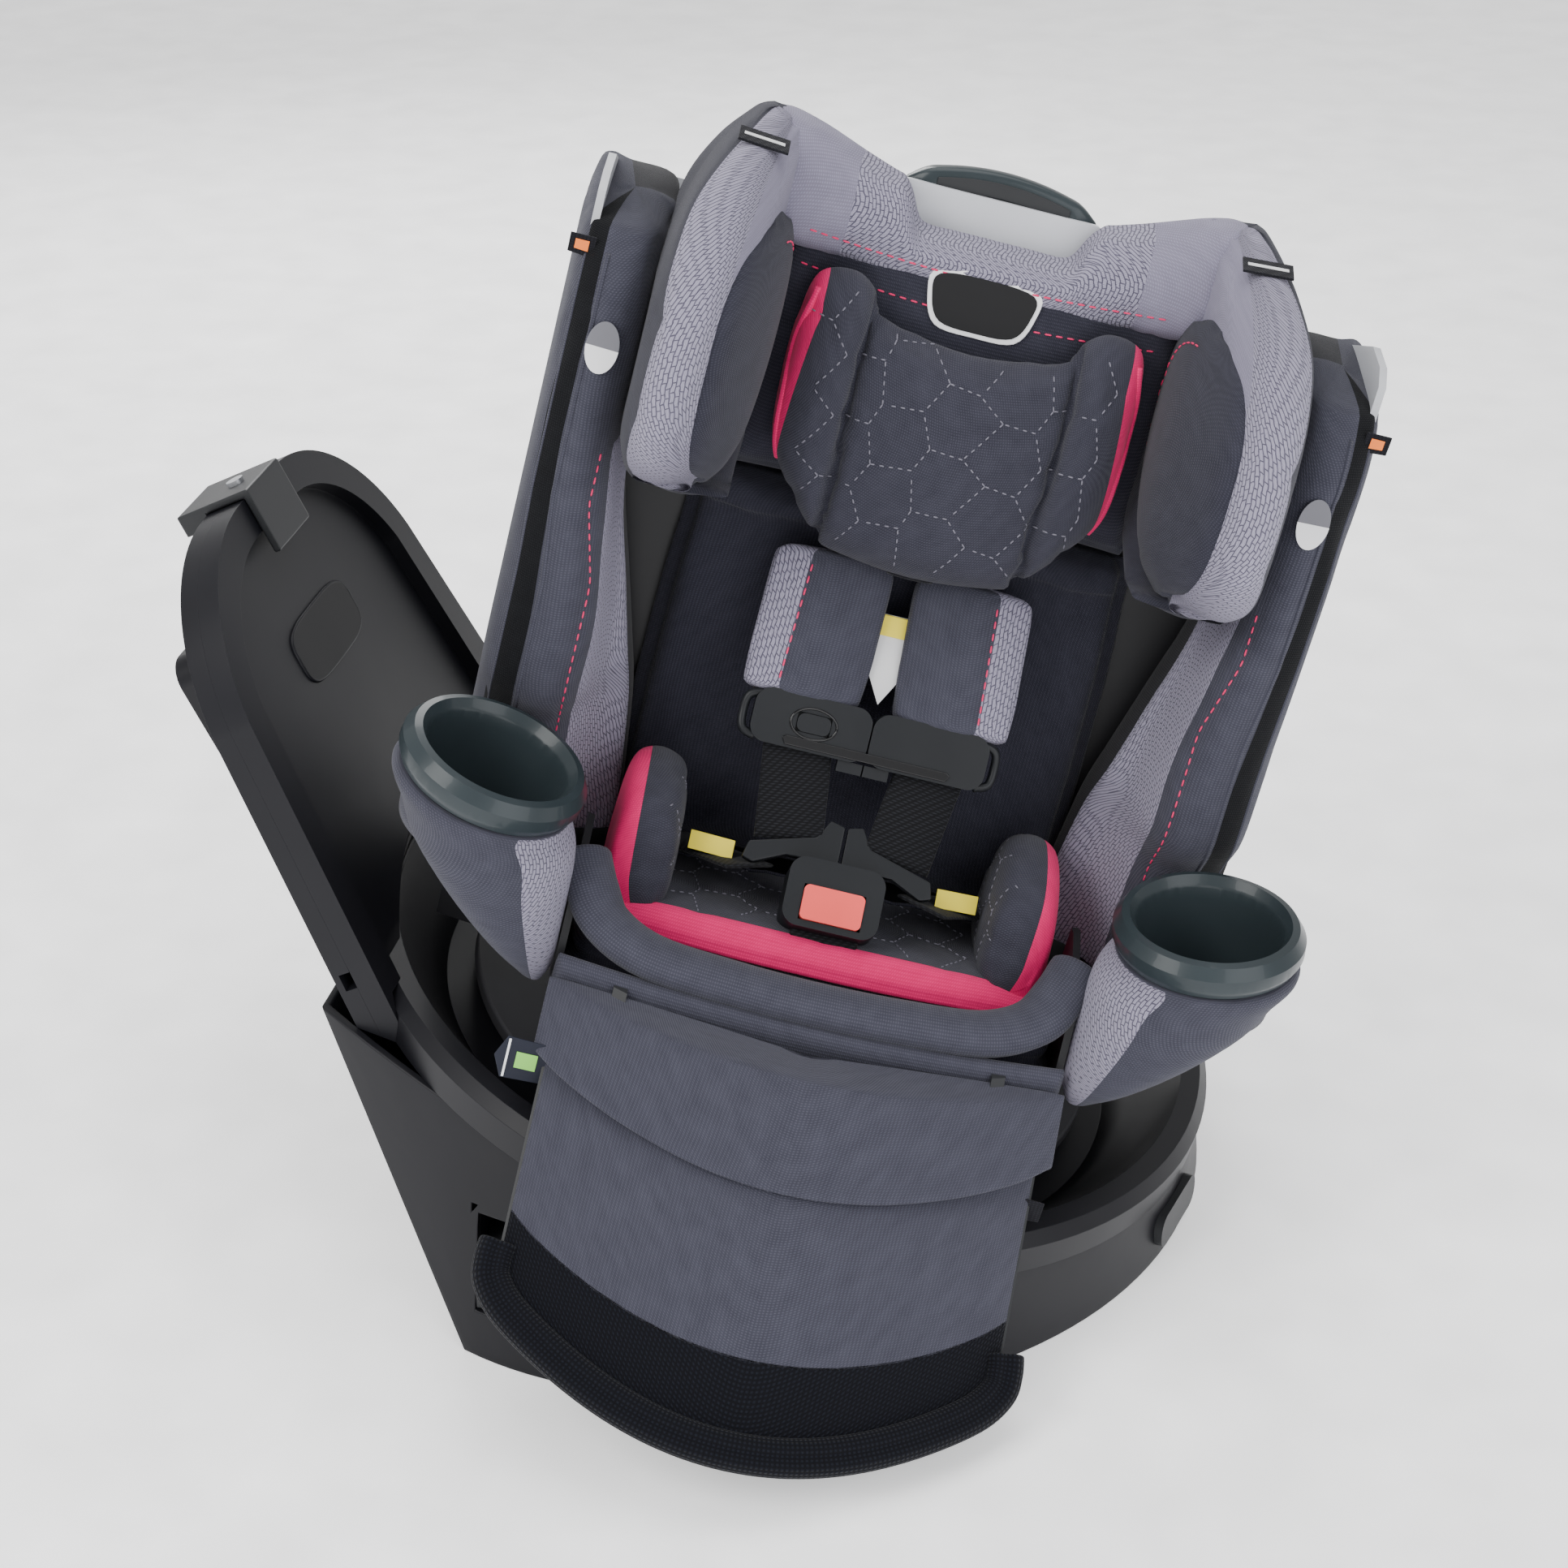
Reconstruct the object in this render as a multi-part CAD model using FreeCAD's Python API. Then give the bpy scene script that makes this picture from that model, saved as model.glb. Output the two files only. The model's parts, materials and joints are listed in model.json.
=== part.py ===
import FreeCAD, Part
import os
from math import asin, cos, pi, radians, sin, tan

# Rotating convertible child car seat on a wedge base. All sizes in millimetres.
# Row frame: floor at z = 0, origin under the swivel axis where it crosses the bowl's rim plane.
# Base frame: origin on the swivel axis in the rim plane, z along the axis, wall towards -X.
# Seat frame: the base frame turned about the axis, occupant facing -Y.

V = FreeCAD.Vector
Placement = FreeCAD.Placement
Rotation = FreeCAD.Rotation

# Driving dimensions
TABLE_TILT = 14.0          # swivel axis leans towards +X
SEAT_TURN = 8.0            # how far the seat is turned on the base
RIM_HEIGHT = 115.0         # rim plane above the floor at the swivel axis
SHELL_HALF = 204.0         # half of the seat's width
RIM_MARGIN = 42.0          # rim beyond the seat's side
RIM_R = SHELL_HALF + RIM_MARGIN    # outside of the bowl's rim
RIM_W = 20.0
BOWL_R = RIM_R - RIM_W     # inside of the bowl's rim
BOWL_DEPTH = 42.0
BOWL_FLOOR_R = BOWL_R - 32.0
SKIN = 4.0                 # wall of every plastic shell
FOOT_R = RIM_R + 4.0       # rounded end of the footprint
FOOT_SHIFT = -15.0         # centre of that round end
FOOT_REAR = 112.0 - RIM_R  # straight rear edge of the footprint
FOOT_REAR_HALF = 236.0
DECK_REAR = 14.0 - RIM_R   # rear edge of the skirt at the top
DECK_REAR_HALF = 150.0
RIM_DROP = 22.0            # depth of the bowl's rolled rim
WALL_LEAN = 40.0           # wall plane from the swivel axis
WALL_FOOT = 50.0 - RIM_R   # wall plane meets the rim plane here
WALL_HEIGHT = 247.0        # along the wall
WALL_HALF_LOW = 162.0
WALL_HALF_HIGH = 135.0
WALL_SHOULDER = 160.0      # where the straight sides end
WALL_FLAT = 28.0           # half of the level top edge
WALL_T = 24.0
WALL_LIP = 20.0            # width of the raised border round the wall
WALL_RECESS = 9.0
HUMP_HALF = 112.0
HUMP_LOW = 118.0
HUMP_HIGH = 200.0
HUMP_DEPTH = 39.0
TURNTABLE_R = 180.0
TURNTABLE_T = 8.0
BALL_D = 6.0
BALL_COUNT = 24
BALL_CIRCLE_R = 158.0
HUB_R = 30.0
RUN_GAP = 0.05             # radial running clearance
CLEAR = 0.3                # between pieces that only lie side by side
RECLINE_R = 245.0          # arc the shell's bottom rides on
RECLINE_Y = -40.0
RECLINE_Z = 250.0
BITE_Y = 5.0               # where back and seat fabrics meet
BITE_Z = 42.0
BACK_LEAN = 11.0
PAN_RISE = 10.0
BACK_DEPTH = 62.0          # fabric plane to the rear of the shell
PAN_HALF = 136.0
SHELL_TOP = 424.0          # at the wings
SHELL_REAR_TOP = 384.0
SHELL_CORNER_R = 52.0      # rear corners in plan
WING_SPLIT = 165.0         # the shell is narrow in front below this height
PAN_FRONT = -148.0
FRONT_TOP = 56.0           # top of the shell's front wall
PAD_T = 17.0               # back pad
BACK_PAD_TOP = 232.0       # along the back
RAIL_TOP = 340.0
CUSHION_T = 26.0
WING_TOP_Y = -15.0
WING_LOW_Y = -66.0
CUP_X = SHELL_HALF - 16.0
CUP_Y = -115.0
CUP_TOP = 155.0
CUP_RIM_R = 50.0
CUP_BORE_R = 38.0
CUP_DEPTH = 46.0
CUP_LEAN = 11.0            # cup axes lean inwards at the top
HEAD_LOW = 236.0           # lower tips of the wings, along the back
HEAD_HIGH = 414.0
HEAD_BAND_TOP = 384.0      # middle of the headrest
HEAD_HALF = 162.0
HEAD_INNER = 108.0
HEAD_DEPTH = 150.0
HEAD_PAD_T = 26.0
PILLOW_T = 28.0
WEB_W = 38.0
WEB_T = 1.6
LEG_TOP_Z = 53.0
LEG_TOP_Y = -156.0
LEG_SLOPE = 1.03           # outwards per unit down
LEG_HALF = 130.0
LEG_SAG = 38.0             # how far the middle stands in front of the ends
LEG_MID_LOW = -70.0        # lowest point of the board, at its middle
LEG_END_LOW = -52.0        # and at its ends
BOARD_T = 4.0
LEG_PAD_T = 5.0
LEG_PIN_Y = -154.0
LEG_PIN_Z = 60.0
STRAP_Z = 190.0            # harness slots, along the back
STRAP_LEAN = 18.2          # chest webbing from the back plane
STRAP_TOP_Y = -55.0
STRAP_TOP_Z = 133.5
STRAP_RUN = 80.0
INSERT_T = 16.0
BUCKLE_Y = -98.0
BUCKLE_Z = 80.0
BUCKLE_LEAN = 46.0
BUCKLE_HALF = 26.0
BUCKLE_LONG = 40.0
BUCKLE_DEEP = 11.0
CLIP_HALF = 64.0

base_frame = Placement(V(0, 0, RIM_HEIGHT), Rotation(V(0, 1, 0), TABLE_TILT))
seat_frame = base_frame.multiply(Placement(V(0, 0, 0), Rotation(V(0, 0, 1), SEAT_TURN)))
wall_frame = base_frame.multiply(Placement(V(WALL_FOOT, 0, 0), Rotation(V(0, 1, 0), -WALL_LEAN)))
back_frame = seat_frame.multiply(Placement(V(0, BITE_Y, BITE_Z), Rotation(V(1, 0, 0), -BACK_LEAN)))
pan_frame = seat_frame.multiply(Placement(V(0, BITE_Y, BITE_Z), Rotation(V(1, 0, 0), -PAN_RISE)))
strap_turn = Rotation(V(1, 0, 0), -STRAP_LEAN)
strap_frame = back_frame.multiply(Placement(V(0, STRAP_TOP_Y, STRAP_TOP_Z), strap_turn))
buckle_turn = Rotation(V(1, 0, 0), -BUCKLE_LEAN)
buckle_frame = seat_frame.multiply(Placement(V(0, BUCKLE_Y, BUCKLE_Z), buckle_turn))
cup_in_seat = Placement(V(CUP_X, CUP_Y, CUP_TOP), Rotation(V(0, 1, 0), -CUP_LEAN))
row_frame = Placement()

nodes = {}


def put(name, shape, frame=row_frame):
    """Store a node's shape, moved from the frame it was drawn in to the row frame."""
    moved = shape.copy()
    moved.Placement = frame.multiply(moved.Placement)
    nodes[name] = moved


def box(x0, x1, y0, y1, z0, z1):
    return Part.makeBox(x1 - x0, y1 - y0, z1 - z0, V(x0, y0, z0))


def prism_x(points, x0, x1):
    """Outline given as (y, z) points, drawn out from x0 to x1."""
    wire = Part.makePolygon([V(x0, y, z) for y, z in points] + [V(x0, *points[0])])
    return Part.Face(wire).extrude(V(x1 - x0, 0, 0))


def prism_z(points, z0, z1):
    """Outline given as (x, y) points, drawn out from z0 to z1."""
    wire = Part.makePolygon([V(x, y, z0) for x, y in points + points[:1]])
    return Part.Face(wire).extrude(V(0, 0, z1 - z0))


def rod(r, start, end):
    run = end - start
    return Part.makeCylinder(r, run.Length, start, run)


def turned(points):
    """Solid of revolution about z from (r, z) points."""
    wire = Part.makePolygon([V(r, 0, z) for r, z in points + points[:1]])
    return Part.Face(wire).revolve(V(0, 0, 0), V(0, 0, 1), 360)


def rounded(shape, radius, along=V(0, 0, 1)):
    """Round every straight edge of the shape that runs along one direction."""
    edges = []
    for edge in shape.Edges:
        if isinstance(edge.Curve, Part.Line) and abs(edge.Curve.Direction.dot(along)) > 0.999:
            edges.append(edge)
    return shape.makeFillet(radius, edges)


def mirrored(shape):
    return shape.mirror(V(0, 0, 0), V(1, 0, 0))


def put_pair(name, shape, frame):
    """The shape is drawn on the +x side, which is the occupant's left."""
    put(name + "_left", shape, frame)
    put(name + "_right", mirrored(shape), frame)


def one_solid(shape):
    """Unwrap a boolean result that holds a single solid."""
    return shape.Solids[0] if len(shape.Solids) == 1 else shape


# Base

def skirt_wire(shift, r, rear, rear_half, frame):
    """Round end towards +X, bulged sides and a straight rear edge."""
    side = V((shift + rear) / 2 - 5, (r + rear_half) / 2 + 9, 0)
    far = V(shift, r, 0)
    near = V(shift, -r, 0)
    rear_far = V(rear, rear_half, 0)
    rear_near = V(rear, -rear_half, 0)
    edges = [
        Part.Arc(near, V(shift + r, 0, 0), far).toShape(),
        Part.Arc(far, side, rear_far).toShape(),
        Part.LineSegment(rear_far, rear_near).toShape(),
        Part.Arc(rear_near, V(side.x, -side.y, 0), near).toShape(),
    ]
    wire = Part.Wire(edges)
    wire.Placement = frame
    return wire


def skirt_solid(inset):
    """Body between the footprint on the floor and the underside of the rim, inset all round."""
    top = base_frame.multiply(Placement(V(0, 0, -RIM_DROP), Rotation()))
    low = skirt_wire(FOOT_SHIFT, FOOT_R - inset, FOOT_REAR + inset, FOOT_REAR_HALF - inset, row_frame)
    high = skirt_wire(0, RIM_R - 1 - inset, DECK_REAR + inset, DECK_REAR_HALF - inset, top)
    return Part.makeLoft([low, high], True, True)


BELT_X0 = -128.0
BELT_X1 = -76.0
BELT_Z0 = 24.0
BELT_Z1 = 76.0
belt_path = box(BELT_X0, BELT_X1, -300, 300, BELT_Z0, BELT_Z1)
PLATE_T = 4.0


def base_skirt():
    shell = skirt_solid(0).cut(skirt_solid(SKIN))
    tunnel = box(BELT_X0 - SKIN, BELT_X1 + SKIN, -215, 215, BELT_Z0 - SKIN, BELT_Z1 + SKIN)
    return shell.cut(tunnel).cut(belt_path)


def base_tunnel():
    """Rectangular duct for the vehicle's belt, from one side of the skirt to the other."""
    duct = box(BELT_X0 - SKIN, BELT_X1 + SKIN, -300, 300, BELT_Z0 - SKIN, BELT_Z1 + SKIN)
    return duct.common(skirt_solid(SKIN)).cut(belt_path)


def base_plate():
    slab = box(-400, 400, -400, 400, 0, PLATE_T)
    plate = slab.common(skirt_solid(SKIN))
    for x, y in pad_places():
        plate = plate.cut(Part.makeCylinder(PAD_R, PAD_H, V(x, y, 0)))
    return plate


PAD_R = 17.0
PAD_H = 2.5


def pad_places():
    half = FOOT_REAR_HALF - 40
    return [(x, y) for x in (FOOT_REAR + 30, FOOT_SHIFT + FOOT_R * 0.55) for y in (-half * 0.8, half * 0.8)]


def rubber_pads():
    return Part.makeCompound([Part.makeCylinder(PAD_R, PAD_H, V(x, y, 0)) for x, y in pad_places()])


def bowl():
    floor = -BOWL_DEPTH
    under = floor - SKIN
    outline = [
        (0, floor), (BOWL_FLOOR_R, floor), (BOWL_R - 2, -5), (BOWL_R + 3, 0),
        (RIM_R - 6, 0), (RIM_R, -6), (RIM_R, -RIM_DROP), (RIM_R - SKIN - 6, -RIM_DROP),
        (BOWL_R + 4, -14), (BOWL_FLOOR_R + 3, under), (0, under),
    ]
    return turned(outline)


def wall_outline(inset, bottom):
    """Tombstone outline in the wall plane: straight sides, a flat top and tangent shoulders."""
    low = WALL_HALF_LOW - inset
    high = WALL_HALF_HIGH - inset
    top = WALL_HEIGHT - inset
    rise = top - WALL_SHOULDER
    span = high - WALL_FLAT
    r = (span * span + rise * rise) / (2 * rise)
    start = asin((WALL_SHOULDER - top + r) / r)
    turn = (start + pi / 2) / 2
    bulge = V(0, WALL_FLAT + r * cos(turn), top - r + r * sin(turn))
    edges = [
        Part.LineSegment(V(0, -low, bottom), V(0, -high, WALL_SHOULDER)).toShape(),
        Part.Arc(V(0, -high, WALL_SHOULDER), V(0, -bulge.y, bulge.z), V(0, -WALL_FLAT, top)).toShape(),
        Part.LineSegment(V(0, -WALL_FLAT, top), V(0, WALL_FLAT, top)).toShape(),
        Part.Arc(V(0, WALL_FLAT, top), bulge, V(0, high, WALL_SHOULDER)).toShape(),
        Part.LineSegment(V(0, high, WALL_SHOULDER), V(0, low, bottom)).toShape(),
        Part.LineSegment(V(0, low, bottom), V(0, -low, bottom)).toShape(),
    ]
    return Part.Wire(edges)


def wall_slab(inset, bottom, front, depth):
    """Tombstone slab from normal position front, going outwards by depth."""
    slab = Part.Face(wall_outline(inset, bottom)).extrude(V(-depth, 0, 0))
    slab.translate(V(front, 0, 0))
    return slab


WALL_BOTTOM = -34.0


def below_wall():
    """Everything under the wall's foot, in the wall frame: the bowl and the skirt's space."""
    inner = Part.makeCylinder(BOWL_R + 4, 90, V(0, 0, -60))
    rim = Part.makeCylinder(RIM_R, RIM_DROP + 30, V(0, 0, -RIM_DROP - 30))
    tools = inner.fuse(rim)
    tools.Placement = base_frame
    return tools.fuse(skirt_solid(0))


def wall_pieces():
    """Front panel with its raised border, and the hollow rear cover with its strap hump."""
    front = wall_slab(0, WALL_BOTTOM, 0, WALL_RECESS + SKIN)
    front = front.cut(wall_slab(WALL_LIP, WALL_BOTTOM - 30, 1, WALL_RECESS + 1))
    rear = wall_slab(0, WALL_BOTTOM, -WALL_RECESS - SKIN, WALL_T - WALL_RECESS - SKIN)
    hump = box(-HUMP_DEPTH, -WALL_RECESS - SKIN, -HUMP_HALF, HUMP_HALF, HUMP_LOW, HUMP_HIGH)
    hump = rounded(hump, 14, V(1, 0, 0))
    rear = rear.fuse(hump)
    hollow = wall_slab(SKIN + 2, WALL_BOTTOM + 46, -WALL_RECESS - SKIN, WALL_T - WALL_RECESS - 2 * SKIN)
    pocket = box(
        -HUMP_DEPTH + SKIN, -WALL_RECESS - SKIN,
        -HUMP_HALF + 12, HUMP_HALF - 12, HUMP_LOW + 12, HUMP_HIGH - 12)
    rear = rear.cut(hollow).cut(pocket)
    floor = below_wall()
    cuts = []
    for piece in (front, rear):
        piece.Placement = wall_frame.multiply(piece.Placement)
        cuts.append(one_solid(piece.cut(floor)))
    return cuts


def oval(half_w, half_h, depth, corner):
    """Rounded plate standing on the plane x = 0, growing towards +x."""
    plate = box(0, depth, -half_w, half_w, -half_h, half_h)
    return rounded(plate, corner, V(1, 0, 0))


BRACKET_HALF = 24.0
BRACKET_T = 4.5
BRACKET_BACK = -42.0
BRACKET_LEG = 34.0


def tether_bracket():
    """Saddle over the wall's top edge with a shelf behind for the stored tether."""
    top = WALL_HEIGHT + CLEAR
    front = BRACKET_T + CLEAR
    body = box(BRACKET_BACK, front, -BRACKET_HALF, BRACKET_HALF, top - BRACKET_LEG, top + BRACKET_T)
    body = body.cut(box(-WALL_T - CLEAR, CLEAR, -60, 60, top - 60, top))
    body = body.cut(box(BRACKET_BACK - 1, -WALL_T - BRACKET_T, -60, 60, top - 60, top - 8))
    hole = rod(2.6, V(-WALL_T / 2, 0, top - 1), V(-WALL_T / 2, 0, top + BRACKET_T + 1))
    return body.cut(hole)


def bracket_screw():
    top = WALL_HEIGHT + CLEAR
    shank = rod(2.5, V(-WALL_T / 2, 0, top - CLEAR), V(-WALL_T / 2, 0, top + BRACKET_T + 0.2))
    head = rod(5.0, V(-WALL_T / 2, 0, top + BRACKET_T), V(-WALL_T / 2, 0, top + BRACKET_T + 2.5))
    return shank.fuse(head)


def tether_strap():
    top = WALL_HEIGHT + CLEAR - 8
    rear = -WALL_T - BRACKET_T - CLEAR
    return rounded(box(BRACKET_BACK + 3, rear, -17, 17, HUMP_HIGH + CLEAR, top), 4, V(1, 0, 0))


def end_badge():
    """Oval plate let into the skirt near its round end."""
    turn = Placement(V(FOOT_SHIFT, 0, 0), Rotation(V(0, 0, 1), -15))
    plate = oval(28, 10, 14, 9)
    plate.translate(V(FOOT_R - 12, 0, 17))
    plate.Placement = turn.multiply(plate.Placement)
    return one_solid(plate.cut(skirt_solid(0)))


def hub_post():
    low = -BOWL_DEPTH
    wide = Part.makeCylinder(HUB_R - RUN_GAP, table_top() + CLEAR - low, V(0, 0, low))
    neck = Part.makeCylinder(HUB_R - 8, 5, V(0, 0, table_top() + CLEAR))
    return wide.fuse(neck)


def table_bottom():
    return -BOWL_DEPTH + RACE_T + BALL_D


def table_top():
    return table_bottom() + TURNTABLE_T


RACE_T = 4.0


def hub_nut():
    z = table_top() + CLEAR
    nut = Part.makeCylinder(HUB_R + 10, 4, V(0, 0, z))
    return nut.cut(Part.makeCylinder(HUB_R - 8, 6, V(0, 0, z - 1)))


def ball_race():
    z = -BOWL_DEPTH
    ring = Part.makeCylinder(BALL_CIRCLE_R + 9, RACE_T, V(0, 0, z))
    return ring.cut(Part.makeCylinder(BALL_CIRCLE_R - 9, RACE_T + 2, V(0, 0, z - 1)))


def bearing_balls():
    r = BALL_D / 2 - RUN_GAP
    z = table_bottom() - BALL_D / 2
    balls = []
    for i in range(BALL_COUNT):
        a = 2 * pi * i / BALL_COUNT
        balls.append(Part.makeSphere(r, V(BALL_CIRCLE_R * cos(a), BALL_CIRCLE_R * sin(a), z)))
    return Part.makeCompound(balls)


def ball_cage():
    """Thin ring that spaces the balls."""
    z = table_bottom() - BALL_D / 2
    ring = Part.makeCylinder(BALL_CIRCLE_R + 6, 2, V(0, 0, z - 1))
    ring = ring.cut(Part.makeCylinder(BALL_CIRCLE_R - 6, 4, V(0, 0, z - 2)))
    for i in range(BALL_COUNT):
        a = 2 * pi * i / BALL_COUNT
        place = V(BALL_CIRCLE_R * cos(a), BALL_CIRCLE_R * sin(a), z - 2)
        ring = ring.cut(Part.makeCylinder(BALL_D / 2 + 0.1, 4, place))
    return ring


def turntable():
    z = table_bottom()
    disc = Part.makeCylinder(TURNTABLE_R, TURNTABLE_T, V(0, 0, z))
    disc = disc.cut(Part.makeCylinder(HUB_R, TURNTABLE_T + 2, V(0, 0, z - 1)))
    return disc.makeFillet(2, [disc.Edges[0]])


CRADLE_IN = 66.0
CRADLE_OUT = 92.0


def cradle():
    """Two curved rails that carry the shell's bottom arc, tied together by two bars."""
    z = table_top()
    rails = []
    for x0, x1 in ((-CRADLE_OUT, -CRADLE_IN), (CRADLE_IN, CRADLE_OUT)):
        rails.append(box(x0, x1, -125, 78, z, 60))
    body = rails[0].fuse(rails[1])
    for y in (-112, 52):
        body = body.fuse(box(-CRADLE_IN, CRADLE_IN, y, y + 14, z, z + 16))
    arc = Part.makeCylinder(RECLINE_R + CLEAR, 400, V(-200, RECLINE_Y, RECLINE_Z), V(1, 0, 0))
    return body.cut(arc)


def cradle_bolts():
    bolts = []
    for x in (-(CRADLE_OUT + 9), CRADLE_OUT + 9):
        for y in (-90, 50):
            head = Part.makeCylinder(6, 4, V(x, y, table_top()))
            bolts.append(head)
    return Part.makeCompound(bolts)


# Seat shell

def rear_line(z):
    """A depth just behind the shell's rear face at a height; the leaning block cuts the face itself."""
    return BITE_Y + (z - BITE_Z) * tan(radians(BACK_LEAN)) + BACK_DEPTH + 6


def wing_line(z):
    """Depth of the shell's front edge beside the occupant."""
    share = (z - WING_SPLIT) / (SHELL_TOP - WING_SPLIT)
    return WING_LOW_Y + 12 + share * (WING_TOP_Y - WING_LOW_Y)


def shell_block(inset):
    """Solid bucket outline: a narrow front, a wide rear and tall wings, inset on every closed side."""
    rear = -inset
    lift = 2 * inset
    low = prism_z([
        (-(PAN_HALF - inset), PAN_FRONT + inset), (PAN_HALF - inset, PAN_FRONT + inset),
        (PAN_HALF - inset, -56 - inset), (SHELL_HALF - inset, -44 + inset),
        (SHELL_HALF - inset, 190), (-(SHELL_HALF - inset), 190),
        (-(SHELL_HALF - inset), -44 + inset), (-(PAN_HALF - inset), -56 - inset)], -20, 300)
    wide = box(-(SHELL_HALF - inset), SHELL_HALF - inset, -160, 200, -20, 600)
    bed = Part.makeCylinder(RECLINE_R - inset, 600, V(-300, RECLINE_Y, RECLINE_Z), V(1, 0, 0))
    bed = bed.fuse(box(-300, 300, -400, 400, RECLINE_Z - 150, 600))
    side_low = prism_x([
        (PAN_FRONT - 5, -30), (PAN_FRONT - 5, FRONT_TOP),
        (PAN_FRONT + SKIN + 2, FRONT_TOP), (-124, 92), (-58, 104),
        (-44, WING_SPLIT),
        (rear_line(WING_SPLIT) + rear, WING_SPLIT), (rear_line(-30) + rear, -30)], -300, 300)
    side_high = prism_x([
        (wing_line(WING_SPLIT) + 26, WING_SPLIT - 12), (wing_line(WING_SPLIT + 20), WING_SPLIT + 12),
        (wing_line(SHELL_TOP), SHELL_TOP - 6 + lift), (wing_line(SHELL_TOP) + 12, SHELL_TOP + lift),
        (wing_line(SHELL_TOP) + 40, SHELL_TOP + lift),
        (rear_line(SHELL_REAR_TOP) + rear, SHELL_REAR_TOP + lift),
        (rear_line(WING_SPLIT - 12) + rear, WING_SPLIT - 12)], -300, 300)
    block = low.common(side_low).common(bed).fuse(wide.common(side_high))
    return block.common(corner_tool(inset))


def corner_tool(inset):
    """Leaning block that rounds the shell's rear corners, in plan across the back."""
    half = SHELL_HALF - inset
    block = box(-half, half, -260, BACK_DEPTH - inset, -200, 640)
    edges = []
    for edge in block.Edges:
        middle = edge.CenterOfMass
        if middle.y > 0 and abs(middle.z - 220) < 1 and edge.Length > 800:
            edges.append(edge)
    block = block.makeFillet(SHELL_CORNER_R - inset, edges)
    block.Placement = Placement(V(0, BITE_Y, BITE_Z), Rotation(V(1, 0, 0), -BACK_LEAN))
    return block


DECK_T = 4.0
STEM_HALF = 20.0


def seat_shell():
    """Open bucket with the support decks under the cushion and behind the back pads."""
    outer = shell_block(0)
    inner = shell_block(SKIN)
    opened = inner.fuse(inner.translated(V(0, -SKIN - 2, 0)).common(box(-300, 300, -400, -30, 100, 600)))
    body = outer.cut(opened)
    deck = box(-220, 220, -150, 40, -CUSHION_T - CLEAR - DECK_T, -CUSHION_T - CLEAR)
    deck.Placement = pan_in_seat()
    rest = box(-220, 220, PAD_T + CLEAR, PAD_T + CLEAR + DECK_T, -60, RAIL_TOP + 4)
    rest = rest.cut(box(-STEM_HALF - 1, STEM_HALF + 1, 0, 60, BACK_PAD_TOP + 8, 500))
    rest.Placement = back_in_seat()
    supports = deck.fuse(rest).common(inner)
    slots = box(-63, 63, -40, 60, STRAP_Z - 4, STRAP_Z + 4).cut(box(-19, 19, -50, 70, 0, 400))
    slots.Placement = back_in_seat()
    return one_solid(body.fuse(supports).cut(slots).removeSplitter())


def pan_in_seat():
    return Placement(V(0, BITE_Y, BITE_Z), Rotation(V(1, 0, 0), -PAN_RISE))


def back_in_seat():
    return Placement(V(0, BITE_Y, BITE_Z), Rotation(V(1, 0, 0), -BACK_LEAN))


# Soft and hard pieces on the shell

def seat_cushion():
    pad = box(-128, 128, -132, -8, -CUSHION_T, 0)
    return rounded(pad, 12, V(0, 0, 1)).cut(crotch_slot(pan_frame))


def crotch_slot(frame):
    """Clearance for the crotch strap, brought into another frame."""
    slot = box(-WEB_W / 2 - 1, WEB_W / 2 + 1, -2.5, 2.5, -60, 6)
    slot.Placement = frame.inverse().multiply(buckle_frame)
    return slot


def back_cushion():
    pad = rounded(box(-121, 121, 0, PAD_T, 16, BACK_PAD_TOP), 8, V(0, 1, 0))
    for side in (-1, 1):
        x = side * 41
        pad = pad.cut(box(x - 22, x + 22, -1, PAD_T + 1, STRAP_Z - 3, STRAP_Z + 3))
    return pad


def side_wing():
    """Padded wing beside the occupant, from the belt height up to the shoulder."""
    def rear(z):
        return BITE_Y + (z - BITE_Z) * tan(radians(BACK_LEAN)) + PAD_T - 1

    outer = SHELL_HALF - SKIN - CLEAR

    def section(z, inner):
        nose = wing_line(z)
        points = [
            V(outer, rear(z), z), V(outer, nose + 3, z), V(outer - 4, nose - 10, z),
            V(outer - 24, nose - 8, z), V(inner, rear(z), z)]
        return Part.makePolygon(points + points[:1])

    high = SHELL_TOP - 12
    wires = [section(WING_SPLIT + 2, 140), section(286, HEAD_HALF + 4), section(high, HEAD_HALF + 4)]
    upper = Part.makeLoft(wires, True, True)
    low_points = [(outer, -44 + SKIN + CLEAR), (outer, 20), (123, 12), (137, -44 + SKIN + CLEAR)]
    lower = prism_z(low_points, 62, WING_SPLIT + 2)
    return one_solid(upper.fuse(lower))


CUP_SHOULDER = 15.0


def cup_outside(z):
    """Radius of the cup's tapered outside at a height below its rim."""
    return CUP_BORE_R + 5 * (z + CUP_SHOULDER) / (CUP_DEPTH - CUP_SHOULDER)


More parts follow.
